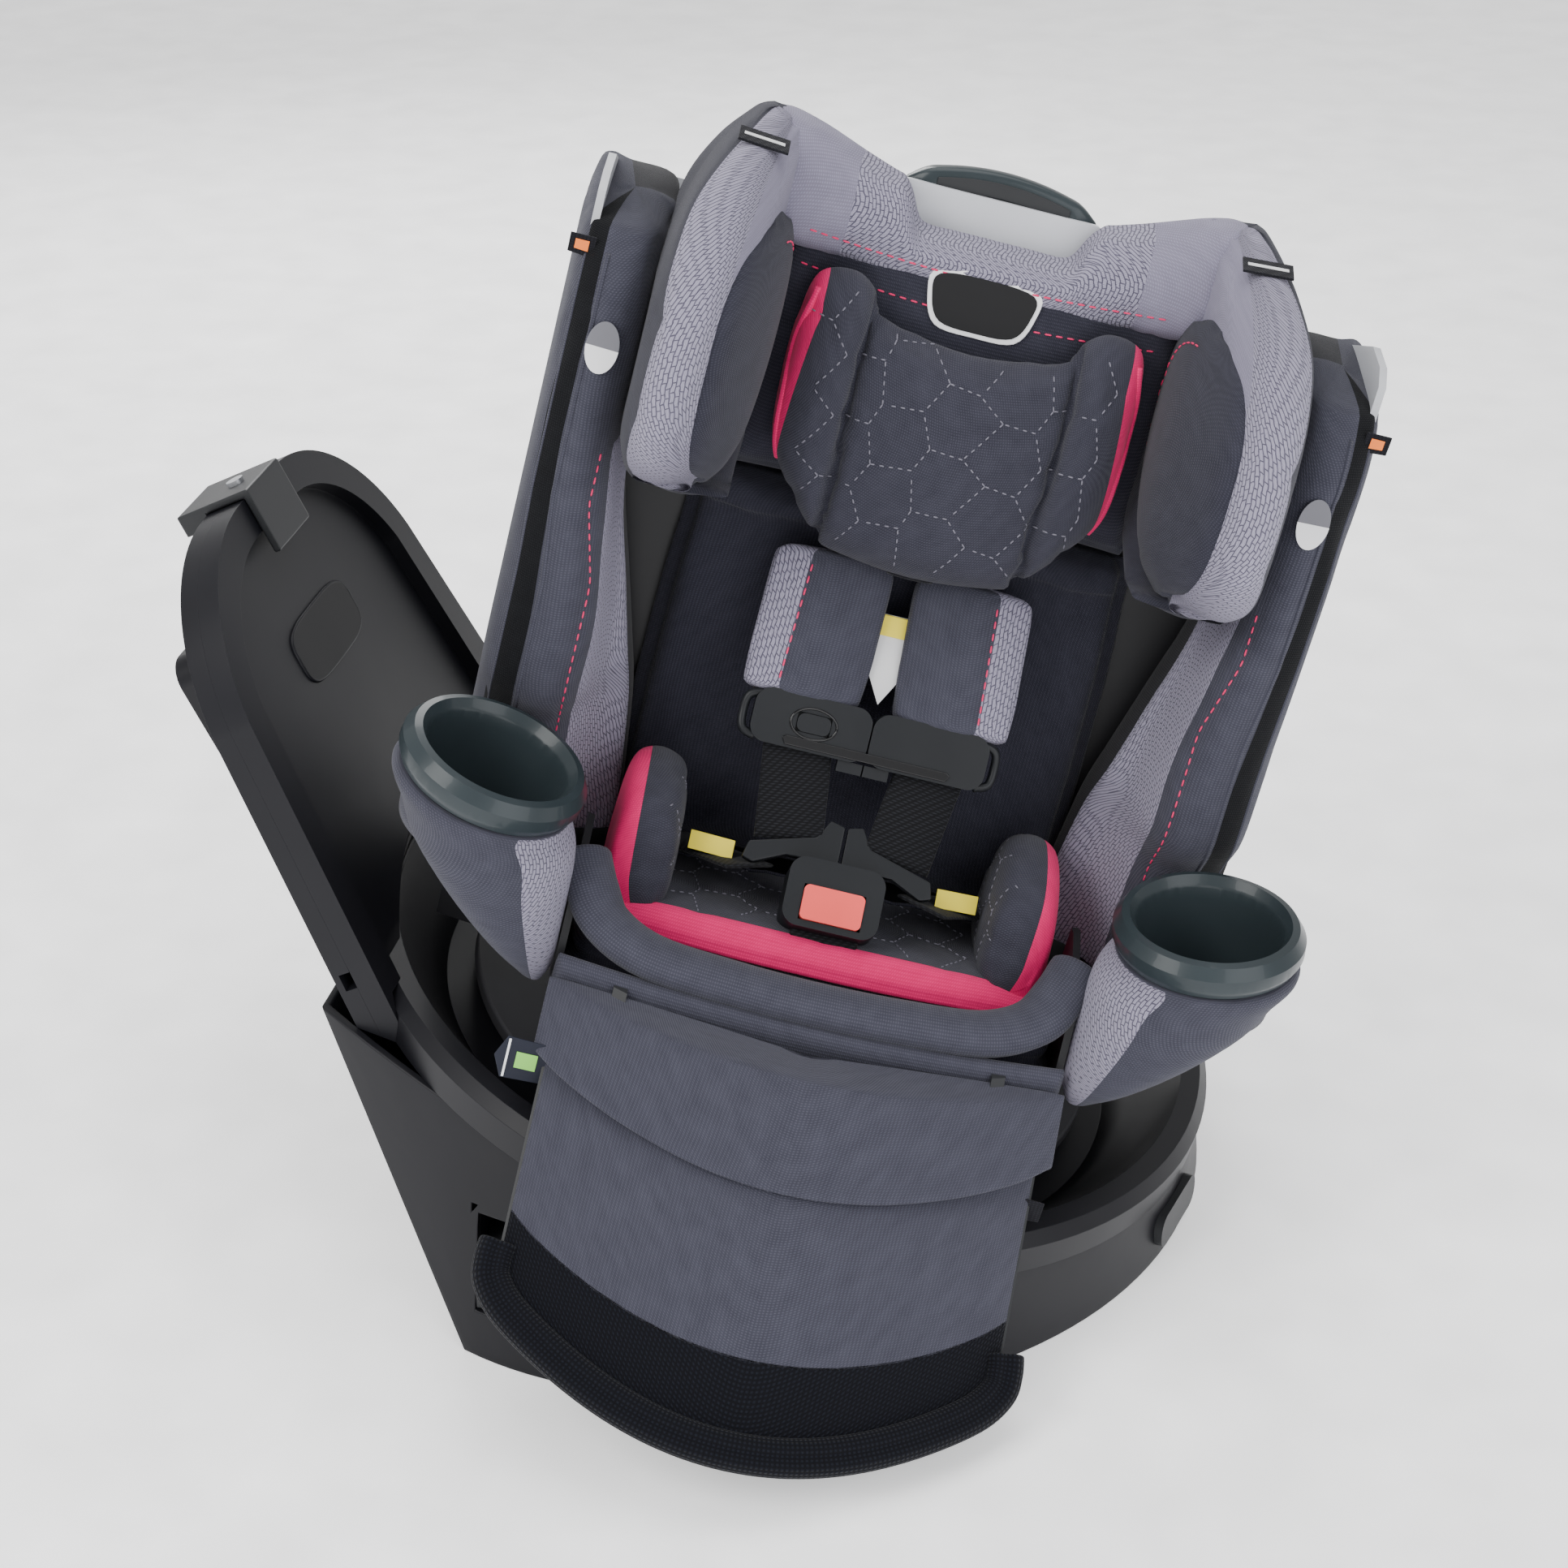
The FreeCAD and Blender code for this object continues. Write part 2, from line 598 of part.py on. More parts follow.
def cup_pod():
    """Arm-rest pod: wide under the cup's rim, tapering to the seat's front corner."""
    top = Part.Wire(Part.Circle(V(0, 0, -CUP_SHOULDER), V(0, 0, 1), CUP_RIM_R - 2).toShape())
    top.Placement = cup_in_seat
    waist = Part.Circle(V(CUP_X - 8, CUP_Y - 7, CUP_TOP - 55), V(-0.25, -0.2, 1), CUP_RIM_R - 4)
    toe = Part.Circle(V(CUP_X - 42, CUP_Y - 30, CUP_TOP - 98), V(-0.3, -0.3, 1), 13)
    middle = Part.Wire(waist.toShape())
    foot = Part.Wire(toe.toShape())
    pod = Part.makeLoft([top, middle, foot], True, False)
    low = -CUP_DEPTH - CLEAR
    high = -CUP_SHOULDER + 1
    bore = Part.makeCone(cup_outside(low) + CLEAR, cup_outside(high) + CLEAR, high - low, V(0, 0, low))
    bore.Placement = cup_in_seat
    inside = box(-300, PAN_HALF + CLEAR, -400, 100, -50, 300)
    return one_solid(pod.cut(bore).cut(inside))


def cup_liner():
    """Soft-rimmed cup that lifts out of the pod."""
    r = CUP_BORE_R
    edge = -CUP_SHOULDER + CLEAR
    outline = [
        (0, -CUP_DEPTH), (cup_outside(-CUP_DEPTH), -CUP_DEPTH), (cup_outside(edge), edge),
        (CUP_RIM_R - 3, edge), (CUP_RIM_R, -9),
        (CUP_RIM_R, -3), (CUP_RIM_R - 4, 3), (CUP_RIM_R - 8, 4), (r, -2),
        (r - 7, -CUP_DEPTH + 2.5), (0, -CUP_DEPTH + 2.5)]
    return turned(outline)


def front_roll():
    """Padded roll round the front edge of the seat."""
    r = 12.0
    y = PAN_FRONT + 7
    z = FRONT_TOP + 19
    path = [V(-114, y + 30, z + 24), V(-106, y, z), V(106, y, z), V(114, y + 30, z + 24)]
    roll = rod(r, path[0], path[1])
    for start, end in zip(path[1:], path[2:]):
        roll = roll.fuse(Part.makeSphere(r, start)).fuse(rod(r, start, end))
    return one_solid(roll)


ARM_X = 100.0
ARM_R = 4.5
PIN_R = 2.5


def front_trim():
    """Plastic front closure that carries the leg rest's pin."""
    y = PAN_FRONT - CLEAR
    trim = box(-126, 126, y - 5, y, 34, LEG_PIN_Z - 6)
    for x in (-ARM_X - 8, -ARM_X + 8, ARM_X - 8, ARM_X + 8):
        ear = box(x - 4, x + 4, LEG_PIN_Y - 4.5, y, LEG_PIN_Z - 6, LEG_PIN_Z + 5)
        trim = trim.fuse(ear)
    for x in (-ARM_X, ARM_X):
        trim = trim.fuse(rod(PIN_R, V(x - 12, LEG_PIN_Y, LEG_PIN_Z), V(x + 12, LEG_PIN_Y, LEG_PIN_Z)))
    return one_solid(trim)


def leg_slice(front, back, top, low_mid, low_end, half):
    """Band of the leg rest between two depths: curved in plan, sloping outwards, rounded below."""
    z = top
    y = LEG_TOP_Y - (LEG_TOP_Z - top) * LEG_SLOPE

    def bow(offset):
        middle = V(0, y - offset - LEG_SAG, z)
        return Part.Arc(V(-half, y - offset, z), middle, V(half, y - offset, z)).toShape()

    near = bow(front)
    far = bow(back)
    sides = [
        Part.LineSegment(V(x, y - front, z), V(x, y - back, z)).toShape() for x in (-half, half)]
    section = Part.Face(Part.Wire(Part.__sortEdges__([near, sides[1], far, sides[0]])))
    drop = top - low_mid + 1
    band = section.extrude(V(0, -drop * LEG_SLOPE, -drop))
    rise = low_end - low_mid
    r = (half * half + rise * rise) / (2 * rise)
    keep = Part.makeCylinder(r, 700, V(0, -700, low_mid + r), V(0, 1, 0))
    keep = keep.fuse(box(-half - 9, half + 9, -700, 0, low_end + 20, top + 10))
    return one_solid(band.common(keep))


def leg_board():
    """Curved stiffener with two arms that turn on the pins of the front closure."""
    board = leg_slice(BOARD_T, 0, LEG_TOP_Z + BOARD_RISE, LEG_MID_LOW, LEG_END_LOW, LEG_HALF)
    for x in (-ARM_X, ARM_X):
        left = x - 4 + CLEAR
        right = x + 4 - CLEAR
        arm = box(left, right, LEG_PIN_Y - 30, LEG_PIN_Y, LEG_PIN_Z - ARM_R, LEG_PIN_Z + ARM_R)
        arm = arm.cut(front_of_board())
        arm = arm.fuse(rod(ARM_R, V(left, LEG_PIN_Y, LEG_PIN_Z), V(right, LEG_PIN_Y, LEG_PIN_Z)))
        hole = rod(PIN_R + RUN_GAP, V(left - 1, LEG_PIN_Y, LEG_PIN_Z), V(right + 1, LEG_PIN_Y, LEG_PIN_Z))
        board = board.fuse(arm.cut(hole))
    return one_solid(board)


BOARD_RISE = 5.0


def front_of_board():
    return leg_slice(60, BOARD_T - 1, LEG_TOP_Z + 30, LEG_MID_LOW, LEG_END_LOW, LEG_HALF)


def leg_pad():
    front = BOARD_T + CLEAR
    return leg_slice(front + LEG_PAD_T, front, LEG_TOP_Z + BOARD_RISE, LEG_MID_LOW, LEG_END_LOW, LEG_HALF)


LIP_T = 18.0
LIP_H = 15.0


def leg_lip():
    """Raised padded lip along the lower edge of the leg rest."""
    front = BOARD_T + LEG_PAD_T + 2 * CLEAR
    band = leg_slice(front + LIP_T, front, LEG_TOP_Z, LEG_MID_LOW, LEG_END_LOW, LEG_HALF)
    rise = LEG_END_LOW - LEG_MID_LOW
    r = (LEG_HALF ** 2 + rise ** 2) / (2 * rise)
    inner = Part.makeCylinder(r - LIP_H, 700, V(0, -700, LEG_MID_LOW + r), V(0, 1, 0))
    return one_solid(band.cut(inner).cut(box(-200, 200, -700, 0, LEG_END_LOW + LIP_H, 200)))


def leg_flap():
    """Fold-over flap in front of the leg rest's top."""
    front = BOARD_T + LEG_PAD_T + 2 * CLEAR
    return leg_slice(front + 5, front, LEG_TOP_Z + 16, 20, 38, LEG_HALF + 1)


# Headrest, in the back frame

def headrest_shell():
    plate = box(-150, 150, 2, 8, BACK_PAD_TOP + 6, HEAD_BAND_TOP + 8)
    plate = rounded(plate, 18, V(0, 1, 0))
    tab = rounded(box(-56, 56, 2, 8, HEAD_BAND_TOP, HEAD_BAND_TOP + 16), 6, V(0, 1, 0))
    plate = plate.fuse(tab)
    neck = box(-STEM_HALF, STEM_HALF, 7, rail_front() + 2, BACK_PAD_TOP + 14, BACK_PAD_TOP + 44)
    low = BACK_PAD_TOP - 90
    high = BACK_PAD_TOP + 62
    slider = box(-STEM_HALF, STEM_HALF, rail_front() + CLEAR, rail_front() + 9, low, high)
    return one_solid(plate.fuse(neck).fuse(slider))


def rail_front():
    return PAD_T + CLEAR + DECK_T


def guide_rail():
    low = BACK_PAD_TOP - 106
    return box(STEM_HALF + CLEAR, STEM_HALF + 10, rail_front(), rail_front() + 12, low, RAIL_TOP)


def headrest_pad():
    pad = box(-HEAD_INNER + 4, HEAD_INNER - 4, -HEAD_PAD_T, 2 - CLEAR, BACK_PAD_TOP + 6, HEAD_BAND_TOP)
    return rounded(pad, 10, V(0, 1, 0))


def headrest_wing():
    d = -HEAD_DEPTH
    low = HEAD_LOW
    high = HEAD_HIGH
    outline = [
        (-1.5, low + 26), (-40, low + 8), (d + 46, low), (d + 18, low + 16), (d, low + 52),
        (d + 2, high - 92),
        (d + 34, high - 36), (-66, high - 4), (-22, high), (2 - CLEAR, high - 12),
        (2 - CLEAR, BACK_PAD_TOP + 6),
        (-1.5, BACK_PAD_TOP + 6)]
    wing = prism_x(outline, HEAD_INNER, HEAD_HALF)
    return wing


def headrest_handle():
    z = HEAD_BAND_TOP + 18
    bar = box(-49, 49, 8 + CLEAR, 24, z - 8, z + 9)
    bar = rounded(bar, 7, V(0, 1, 0))
    return bar.cut(box(-38, 38, 11, 21, z - 9, z + 3))


def pillow():
    y = -HEAD_PAD_T - 3.6
    outline = [(-56, 208), (56, 208), (90, 262), (94, 312), (80, 352), (-80, 352), (-94, 312), (-90, 262)]
    wire = Part.makePolygon([V(x, y, z) for x, z in outline + outline[:1]])
    return Part.Face(wire).extrude(V(0, -PILLOW_T, 0))


def head_badge():
    y = -HEAD_PAD_T - CLEAR
    return rounded(box(-29, 29, y - 2.4, y, 330, 363), 9, V(0, 1, 0))


# Harness

def shoulder_pad():
    return prism_x([(-18, 198), (-32, 198), (-63, 134.2), (-49, 134.2)], 6, 73)


def shoulder_webbing():
    low = STRAP_Z - WEB_T / 2
    return box(41 - WEB_W / 2, 41 + WEB_W / 2, -17.7, rail_front() - CLEAR, low, low + WEB_T)


def strip(points, along):
    wire = Part.makePolygon(points + points[:1])
    return Part.Face(wire).extrude(along)


def chest_webbing():
    """Flat strap from under the shoulder pad down to the tongue, in the strap frame."""
    low = -STRAP_RUN
    points = [V(60, 0, 0), V(22, 0, 0), V(10, 0, low), V(48, 0, low)]
    strap = strip(points, V(0, -WEB_T, 0))
    hole = tongue()
    hole.Placement = strap_frame.inverse().multiply(buckle_frame)
    left = strap.cut(hole)
    return max(left.Solids, key=lambda solid: solid.Volume)


def clip_half():
    """Half of the chest clip, with a slot for the webbing to run through."""
    body = rounded(box(0.4, CLIP_HALF, -8, 5, -32, -2.5), 9, V(0, 1, 0))
    body = body.cut(box(4, CLIP_HALF - 3.2, -WEB_T - CLEAR, CLEAR, -40, 10))
    bar = box(0.4, 14, -6, 3, -38, -32)
    return one_solid(body.fuse(bar))


CLIP_BUTTON = (22.0, 40.0, -22.0, -12.0)


def clip_right():
    x0, x1, z0, z1 = CLIP_BUTTON
    pocket = box(-x1 - CLEAR, -x0 + CLEAR, -9, -5.0, z0 - CLEAR, z1 + CLEAR)
    return mirrored(clip_half()).cut(pocket)


def clip_button():
    x0, x1, z0, z1 = CLIP_BUTTON
    return rounded(box(-x1, -x0, -9.2, -7.0, z0, z1), 4, V(0, 1, 0))


BUTTON = (16.5, 6.0, 25.0)


def buckle():
    half, low, high = BUTTON
    body = rounded(box(-BUCKLE_HALF, BUCKLE_HALF, -BUCKLE_DEEP, BUCKLE_DEEP, 2, BUCKLE_LONG), 9, V(0, 1, 0))
    return body.cut(box(-half - CLEAR, half + CLEAR, -BUCKLE_DEEP - 1, -2, low - CLEAR, high + CLEAR))


def buckle_button():
    half, low, high = BUTTON
    return rounded(box(-half, half, -BUCKLE_DEEP - 1.5, -6, low, high), 3, V(0, 1, 0))


def tongue():
    """Curved tongue: in at the buckle's top, out to the side where the webbing loops through."""
    top = BUCKLE_LONG + CLEAR
    outline = [
        (1, top), (1, top + 22), (9, top + 24), (15, top + 13), (50, top + 3),
        (52, top - 6), (46, top - 8), (29, top)]
    wire = Part.makePolygon([V(x, -2.5, z) for x, z in outline + outline[:1]])
    return Part.Face(wire).extrude(V(0, 5, 0))


def crotch_webbing():
    return box(-WEB_W / 2, WEB_W / 2, -WEB_T / 2, WEB_T / 2, -34, 2)


def lap_webbing():
    """Lap strap from the tongue's outer end back and down to the insert's side, in the seat frame."""
    start = V(48, -72, 108)
    finish = V(82, -26, 78)
    run = finish - start
    across = run.cross(V(0.5, -0.3, -1)).cross(run).normalize() * (WEB_W / 2)
    corners = [start - across, finish - across, finish + across, start + across]
    strap = strip(corners, run.cross(across).normalize() * WEB_T)
    blockers = [
        (buckle_frame, tongue()), (buckle_frame, grown_buckle()),
        (pan_frame, insert_block()), (strap_frame, chest_webbing())]
    for frame, blocker in blockers:
        blocker.Placement = seat_frame.inverse().multiply(frame)
        strap = strap.cut(blocker)
    return max(strap.Solids, key=lambda solid: solid.Volume)


def grown_buckle():
    return box(-BUCKLE_HALF - 2, BUCKLE_HALF + 2, -BUCKLE_DEEP - 2, BUCKLE_DEEP + 2, 0, BUCKLE_LONG + 1)


def insert_block():
    return box(-130, 130, -120, 0, -5, INSERT_T + CLEAR).fuse(box(86 - CLEAR, 130, -100, 0, 0, 90))


def harness_webbing():
    """All the webbing: shoulder, chest and lap runs on both sides, and the crotch strap."""
    runs = [(shoulder_webbing(), back_frame), (chest_webbing(), strap_frame), (lap_webbing(), seat_frame)]
    solids = []
    for shape, frame in runs:
        for side in (shape, mirrored(shape)):
            side.Placement = frame.multiply(side.Placement)
            solids.append(side)
    crotch = crotch_webbing()
    crotch.Placement = buckle_frame
    return Part.makeCompound(solids + [crotch])


# Infant insert, in the pan frame

def insert_base():
    pad = rounded(box(-122, 122, -112, -10, CLEAR, INSERT_T), 14, V(0, 0, 1))
    blocker = grown_buckle()
    blocker.Placement = pan_frame.inverse().multiply(buckle_frame)
    return one_solid(pad.cut(crotch_slot(pan_frame)).cut(blocker))


def insert_bolster():
    z = INSERT_T + CLEAR
    return prism_x([(-94, z), (-16, z), (-8, 60), (-24, 77), (-52, 72), (-94, 36)], 86, 122)


# Levers and adjusters

def adjuster():
    y = PAN_FRONT - 5 - 2 * CLEAR
    body = rounded(box(-18, 18, y - 12, y, 38, 54), 4, V(0, 1, 0))
    return body.cut(box(-9 - CLEAR, 9 + CLEAR, y - 13, y - 6, 43 - CLEAR, 49 + CLEAR))


def adjuster_button():
    y = PAN_FRONT - 5 - 2 * CLEAR
    return box(-9, 9, y - 14, y - 9, 43, 49)


def recline_lever():
    blade = box(-30, 30, PAN_FRONT - 26, PAN_FRONT - 1, 27, 34 - CLEAR)
    return rounded(blade, 6, V(0, 0, 1))


def swivel_lever():
    z = table_top() + CLEAR
    return rounded(box(-20, 20, -185, -150, z, z + 7), 5, V(0, 0, 1))


def anchor_adjuster():
    return box(BELT_X0 + CLEAR, BELT_X0 + 12, -230, -186, BELT_Z0 + CLEAR, BELT_Z0 + 30)


def anchor_strap():
    return box(BELT_X0 + 12 + CLEAR, BELT_X0 + 14, -226, 226, BELT_Z0 + CLEAR, BELT_Z0 + 26)


put("base_skirt", base_skirt())
put("base_tunnel", base_tunnel())
put("base_plate", base_plate())
put("rubber_pads", rubber_pads())
put("bowl", bowl(), base_frame)
wall_front, wall_rear = wall_pieces()
put("wall_front", wall_front)
put("wall_rear", wall_rear)
put("tether_bracket", tether_bracket(), wall_frame)
put("bracket_screw", bracket_screw(), wall_frame)
put("end_badge", end_badge())
put("hub_post", hub_post(), base_frame)
put("hub_nut", hub_nut(), base_frame)
put("ball_race", ball_race(), base_frame)
put("bearing_balls", bearing_balls(), seat_frame)
put("ball_cage", ball_cage(), seat_frame)
put("turntable", turntable(), seat_frame)
put("recline_cradle", cradle(), seat_frame)
put("cradle_bolts", cradle_bolts(), seat_frame)
put("seat_shell", seat_shell(), seat_frame)
put("anchor_adjuster", anchor_adjuster())
tether = tether_strap()
tether.Placement = wall_frame
put("anchor_webbing", Part.makeCompound([anchor_strap(), tether]))
put("swivel_lever", swivel_lever(), seat_frame)
put("guide_rails", Part.makeCompound([guide_rail(), mirrored(guide_rail())]), back_frame)
put("seat_cushion", seat_cushion(), pan_frame)
put("back_cushion", back_cushion(), back_frame)
put_pair("side_wing", side_wing(), seat_frame)
put_pair("cup_pod", cup_pod(), seat_frame)
liner = cup_liner()
liner.Placement = cup_in_seat
put_pair("cup_liner", liner, seat_frame)
put("front_roll", front_roll(), seat_frame)
put("front_trim", front_trim(), seat_frame)
put("leg_board", leg_board(), seat_frame)
put("leg_pad", leg_pad(), seat_frame)
put("leg_lip", leg_lip(), seat_frame)
put("leg_flap", leg_flap(), seat_frame)
put("headrest_shell", headrest_shell(), back_frame)
put("headrest_pad", headrest_pad(), back_frame)
put_pair("headrest_wing", headrest_wing(), back_frame)
put("headrest_handle", headrest_handle(), back_frame)
put("pillow", pillow(), back_frame)
put("head_badge", head_badge(), back_frame)
put_pair("shoulder_pad", shoulder_pad(), back_frame)
put("harness_webbing", harness_webbing())
put("clip_left", clip_half(), strap_frame)
put("clip_right", clip_right(), strap_frame)
put("clip_button", clip_button(), strap_frame)
put("buckle", buckle(), buckle_frame)
put("buckle_button", buckle_button(), buckle_frame)
put_pair("tongue", tongue(), buckle_frame)
insert = Part.makeCompound([insert_base(), insert_bolster(), mirrored(insert_bolster())])
put("infant_insert", insert, pan_frame)
put("adjuster", adjuster(), seat_frame)
put("adjuster_button", adjuster_button(), seat_frame)
put("recline_lever", recline_lever(), seat_frame)

os.makedirs("parts", exist_ok=True)
for name, shape in nodes.items():
    shape.exportStep("parts/" + name + ".step")
    print(name, len(shape.Solids), shape.isValid(), round(shape.Volume / 1000, 1))
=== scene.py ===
import json
import math

import bmesh
import bpy
from mathutils import Matrix, Vector
from mathutils.bvhtree import BVHTree
from mathutils.kdtree import KDTree


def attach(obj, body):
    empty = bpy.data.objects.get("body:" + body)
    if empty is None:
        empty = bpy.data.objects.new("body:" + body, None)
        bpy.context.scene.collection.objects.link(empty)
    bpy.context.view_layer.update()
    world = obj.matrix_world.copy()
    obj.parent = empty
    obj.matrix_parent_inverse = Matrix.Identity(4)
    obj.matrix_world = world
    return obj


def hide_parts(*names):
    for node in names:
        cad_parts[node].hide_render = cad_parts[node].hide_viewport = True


# Looks of a rotating child car seat. Lengths in the local frames below are millimetres.

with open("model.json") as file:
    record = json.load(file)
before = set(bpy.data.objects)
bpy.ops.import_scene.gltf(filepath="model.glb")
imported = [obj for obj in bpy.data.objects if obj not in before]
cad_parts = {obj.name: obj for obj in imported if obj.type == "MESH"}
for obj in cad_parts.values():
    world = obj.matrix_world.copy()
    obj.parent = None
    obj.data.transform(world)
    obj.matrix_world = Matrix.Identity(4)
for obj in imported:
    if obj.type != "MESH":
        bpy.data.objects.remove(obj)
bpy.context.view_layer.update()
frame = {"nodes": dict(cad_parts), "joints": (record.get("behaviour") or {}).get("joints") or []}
MM = 0.001
nodes = frame["nodes"]
joints = {j["name"]: j for j in frame["joints"]}


# Local frames, taken from the joints

def frame_of(origin, x, y, z):
    """4x4 matrix of a frame from its origin (metres) and its three axes."""
    m = Matrix((x, y, z)).transposed().to_4x4()
    m.translation = origin
    return m


def turned(parent, origin_mm, axis, degrees):
    """A frame inside another: moved by millimetres, then turned about one of its axes."""
    shift = Matrix.Translation(Vector(origin_mm) * MM)
    return parent @ shift @ Matrix.Rotation(math.radians(degrees), 4, axis)


swivel_axis = Vector(joints["swivel"]["axis"]).normalized()
swivel_at = Vector(joints["swivel"]["pos_m"])
seat_x = -Vector(joints["recline"]["axis"]).normalized()
SEAT = frame_of(swivel_at, seat_x, swivel_axis.cross(seat_x), swivel_axis)
row_y = Vector((0, 1, 0))
BASE = frame_of(swivel_at, row_y.cross(swivel_axis), row_y, swivel_axis)
WALL = turned(BASE, (-196, 0, 0), "Y", -40)
back_lean = math.degrees(Vector(joints["headrest_height"]["axis"]).angle(swivel_axis))
BACK = turned(SEAT, (0, 5, 42), "X", -back_lean)
PAN = turned(SEAT, (0, 5, 42), "X", -10)
STRAP = turned(BACK, (0, -55, 133.5), "X", -18.2)
BUCKLE = turned(SEAT, (0, -98, 80), "X", -46)
CUP = {1: turned(SEAT, (188, -115, 155), "Y", -11), -1: turned(SEAT, (-188, -115, 155), "Y", 11)}


# Materials. Patterns are laid out on UV maps measured in millimetres.

def new_material(name, colour, rough, sheen=0.0, coat=0.0, metal=0.0):
    mat = bpy.data.materials.new(name)
    mat.use_nodes = True
    bsdf = mat.node_tree.nodes["Principled BSDF"]
    bsdf.inputs["Base Color"].default_value = (*colour, 1)
    bsdf.inputs["Roughness"].default_value = rough
    bsdf.inputs["Metallic"].default_value = metal
    bsdf.inputs["Specular IOR Level"].default_value = 0.12 if sheen else 0.22
    bsdf.inputs["Sheen Weight"].default_value = sheen * 0.4
    bsdf.inputs["Sheen Roughness"].default_value = 0.5
    bsdf.inputs["Coat Weight"].default_value = coat
    return mat, bsdf


def node(mat, kind, **settings):
    made = mat.node_tree.nodes.new(kind)
    for key, value in settings.items():
        if hasattr(made, key):
            setattr(made, key, value)
        else:
            made.inputs[key].default_value = value
    return made


def wire(mat, source, target):
    mat.node_tree.links.new(source, target)


def blend_colours(mat, factor, dark, light):
    mix = node(mat, "ShaderNodeMix", data_type="RGBA")
    mix.inputs[6].default_value = (*dark, 1)
    mix.inputs[7].default_value = (*light, 1)
    wire(mat, factor, mix.inputs[0])
    return mix.outputs[2]


def join(mat, operation, a, b):
    made = node(mat, "ShaderNodeMath", operation=operation)
    wire(mat, a, made.inputs[0])
    if isinstance(b, (int, float)):
        made.inputs[1].default_value = b
    else:
        wire(mat, b, made.inputs[1])
    return made.outputs[0]


def bands(mat, coords, period, direction):
    """Sine bands with a period in millimetres."""
    wave = node(mat, "ShaderNodeTexWave", bands_direction=direction)
    wave.inputs["Scale"].default_value = 0.314 / period
    wave.inputs["Distortion"].default_value = 0.25
    wave.inputs["Detail Scale"].default_value = 0.4
    wire(mat, coords, wave.inputs["Vector"])
    return wave.outputs["Fac"]


def finish_bump(mat, bsdf, height, strength, distance):
    bump = node(mat, "ShaderNodeBump")
    bump.inputs["Strength"].default_value = strength
    bump.inputs["Distance"].default_value = distance * MM
    wire(mat, height, bump.inputs["Height"])
    wire(mat, bump.outputs["Normal"], bsdf.inputs["Normal"])


def cloth_noise(mat, coords, scale):
    noise = node(mat, "ShaderNodeTexNoise")
    noise.inputs["Scale"].default_value = scale
    noise.inputs["Detail"].default_value = 4
    wire(mat, coords, noise.inputs["Vector"])
    return noise.outputs["Fac"]


def ribbed(name, dark, light, rib=1.9, course=1.3, relief=0.55, sheen=0.25):
    """Fine ribbed knit: raised wales crossed by small courses, with a mottled tone."""
    mat, bsdf = new_material(name, light, 0.88, sheen)
    coords = node(mat, "ShaderNodeUVMap").outputs["UV"]
    wale = bands(mat, coords, rib, "X")
    row = bands(mat, coords, course, "Y")
    weave = join(mat, "MULTIPLY", wale, row)
    mottle = cloth_noise(mat, coords, 0.09)
    tone = join(mat, "ADD", join(mat, "MULTIPLY", weave, 0.62), join(mat, "MULTIPLY", mottle, 0.45))
    wire(mat, blend_colours(mat, tone, dark, light), bsdf.inputs["Base Color"])
    finish_bump(mat, bsdf, weave, relief, 0.5)
    return mat


def dashed_mesh(name, dark, light, turn=0, relief=0.7):
    """Open mesh knit: short staggered dashes with dark gaps, along the piece or across it."""
    mat, bsdf = new_material(name, light, 0.85, 0.3)
    coords = node(mat, "ShaderNodeUVMap").outputs["UV"]
    brick = node(mat, "ShaderNodeTexBrick", offset=0.5)
    brick.inputs["Scale"].default_value = 1
    brick.inputs["Brick Width"].default_value = 5.4
    brick.inputs["Row Height"].default_value = 2.3
    brick.inputs["Mortar Size"].default_value = 0.42
    brick.inputs["Mortar Smooth"].default_value = 0.7
    wobble = node(mat, "ShaderNodeTexNoise")
    wobble.inputs["Scale"].default_value = 0.16
    wire(mat, coords, wobble.inputs["Vector"])
    shift = node(mat, "ShaderNodeVectorMath", operation="MULTIPLY_ADD")
    wire(mat, wobble.outputs["Color"], shift.inputs[0])
    shift.inputs[1].default_value = (2.2, 2.2, 0)
    wire(mat, coords, shift.inputs[2])
    spin = node(mat, "ShaderNodeVectorRotate", rotation_type="Z_AXIS")
    spin.inputs["Angle"].default_value = math.radians(turn)
    wire(mat, shift.outputs[0], spin.inputs["Vector"])
    wire(mat, spin.outputs[0], brick.inputs["Vector"])
    gap = brick.outputs["Fac"]
    fine = bands(mat, coords, 0.9, "X")
    tone = join(mat, "SUBTRACT", join(mat, "ADD", join(mat, "MULTIPLY", fine, 0.25), 0.72), gap)
    wire(mat, blend_colours(mat, tone, dark, light), bsdf.inputs["Base Color"])
    finish_bump(mat, bsdf, join(mat, "SUBTRACT", fine, gap), relief, 0.5)
    return mat


def waffle(name, dark, light):
    """Coarse grip weave: small raised squares."""
    mat, bsdf = new_material(name, light, 0.8, 0.1)
    coords = node(mat, "ShaderNodeUVMap").outputs["UV"]
    grid = join(mat, "MULTIPLY", bands(mat, coords, 2.4, "X"), bands(mat, coords, 2.4, "Y"))
    wire(mat, blend_colours(mat, grid, dark, light), bsdf.inputs["Base Color"])
    finish_bump(mat, bsdf, grid, 0.8, 0.7)
    return mat


def woven(name, dark, light):
    """Tight diagonal webbing."""
    mat, bsdf = new_material(name, light, 0.7, 0.15)
    coords = node(mat, "ShaderNodeUVMap").outputs["UV"]
    weave = join(mat, "MULTIPLY", bands(mat, coords, 2.1, "DIAGONAL"), bands(mat, coords, 1.5, "Y"))
    wire(mat, blend_colours(mat, weave, dark, light), bsdf.inputs["Base Color"])
    finish_bump(mat, bsdf, weave, 0.6, 0.4)
    return mat


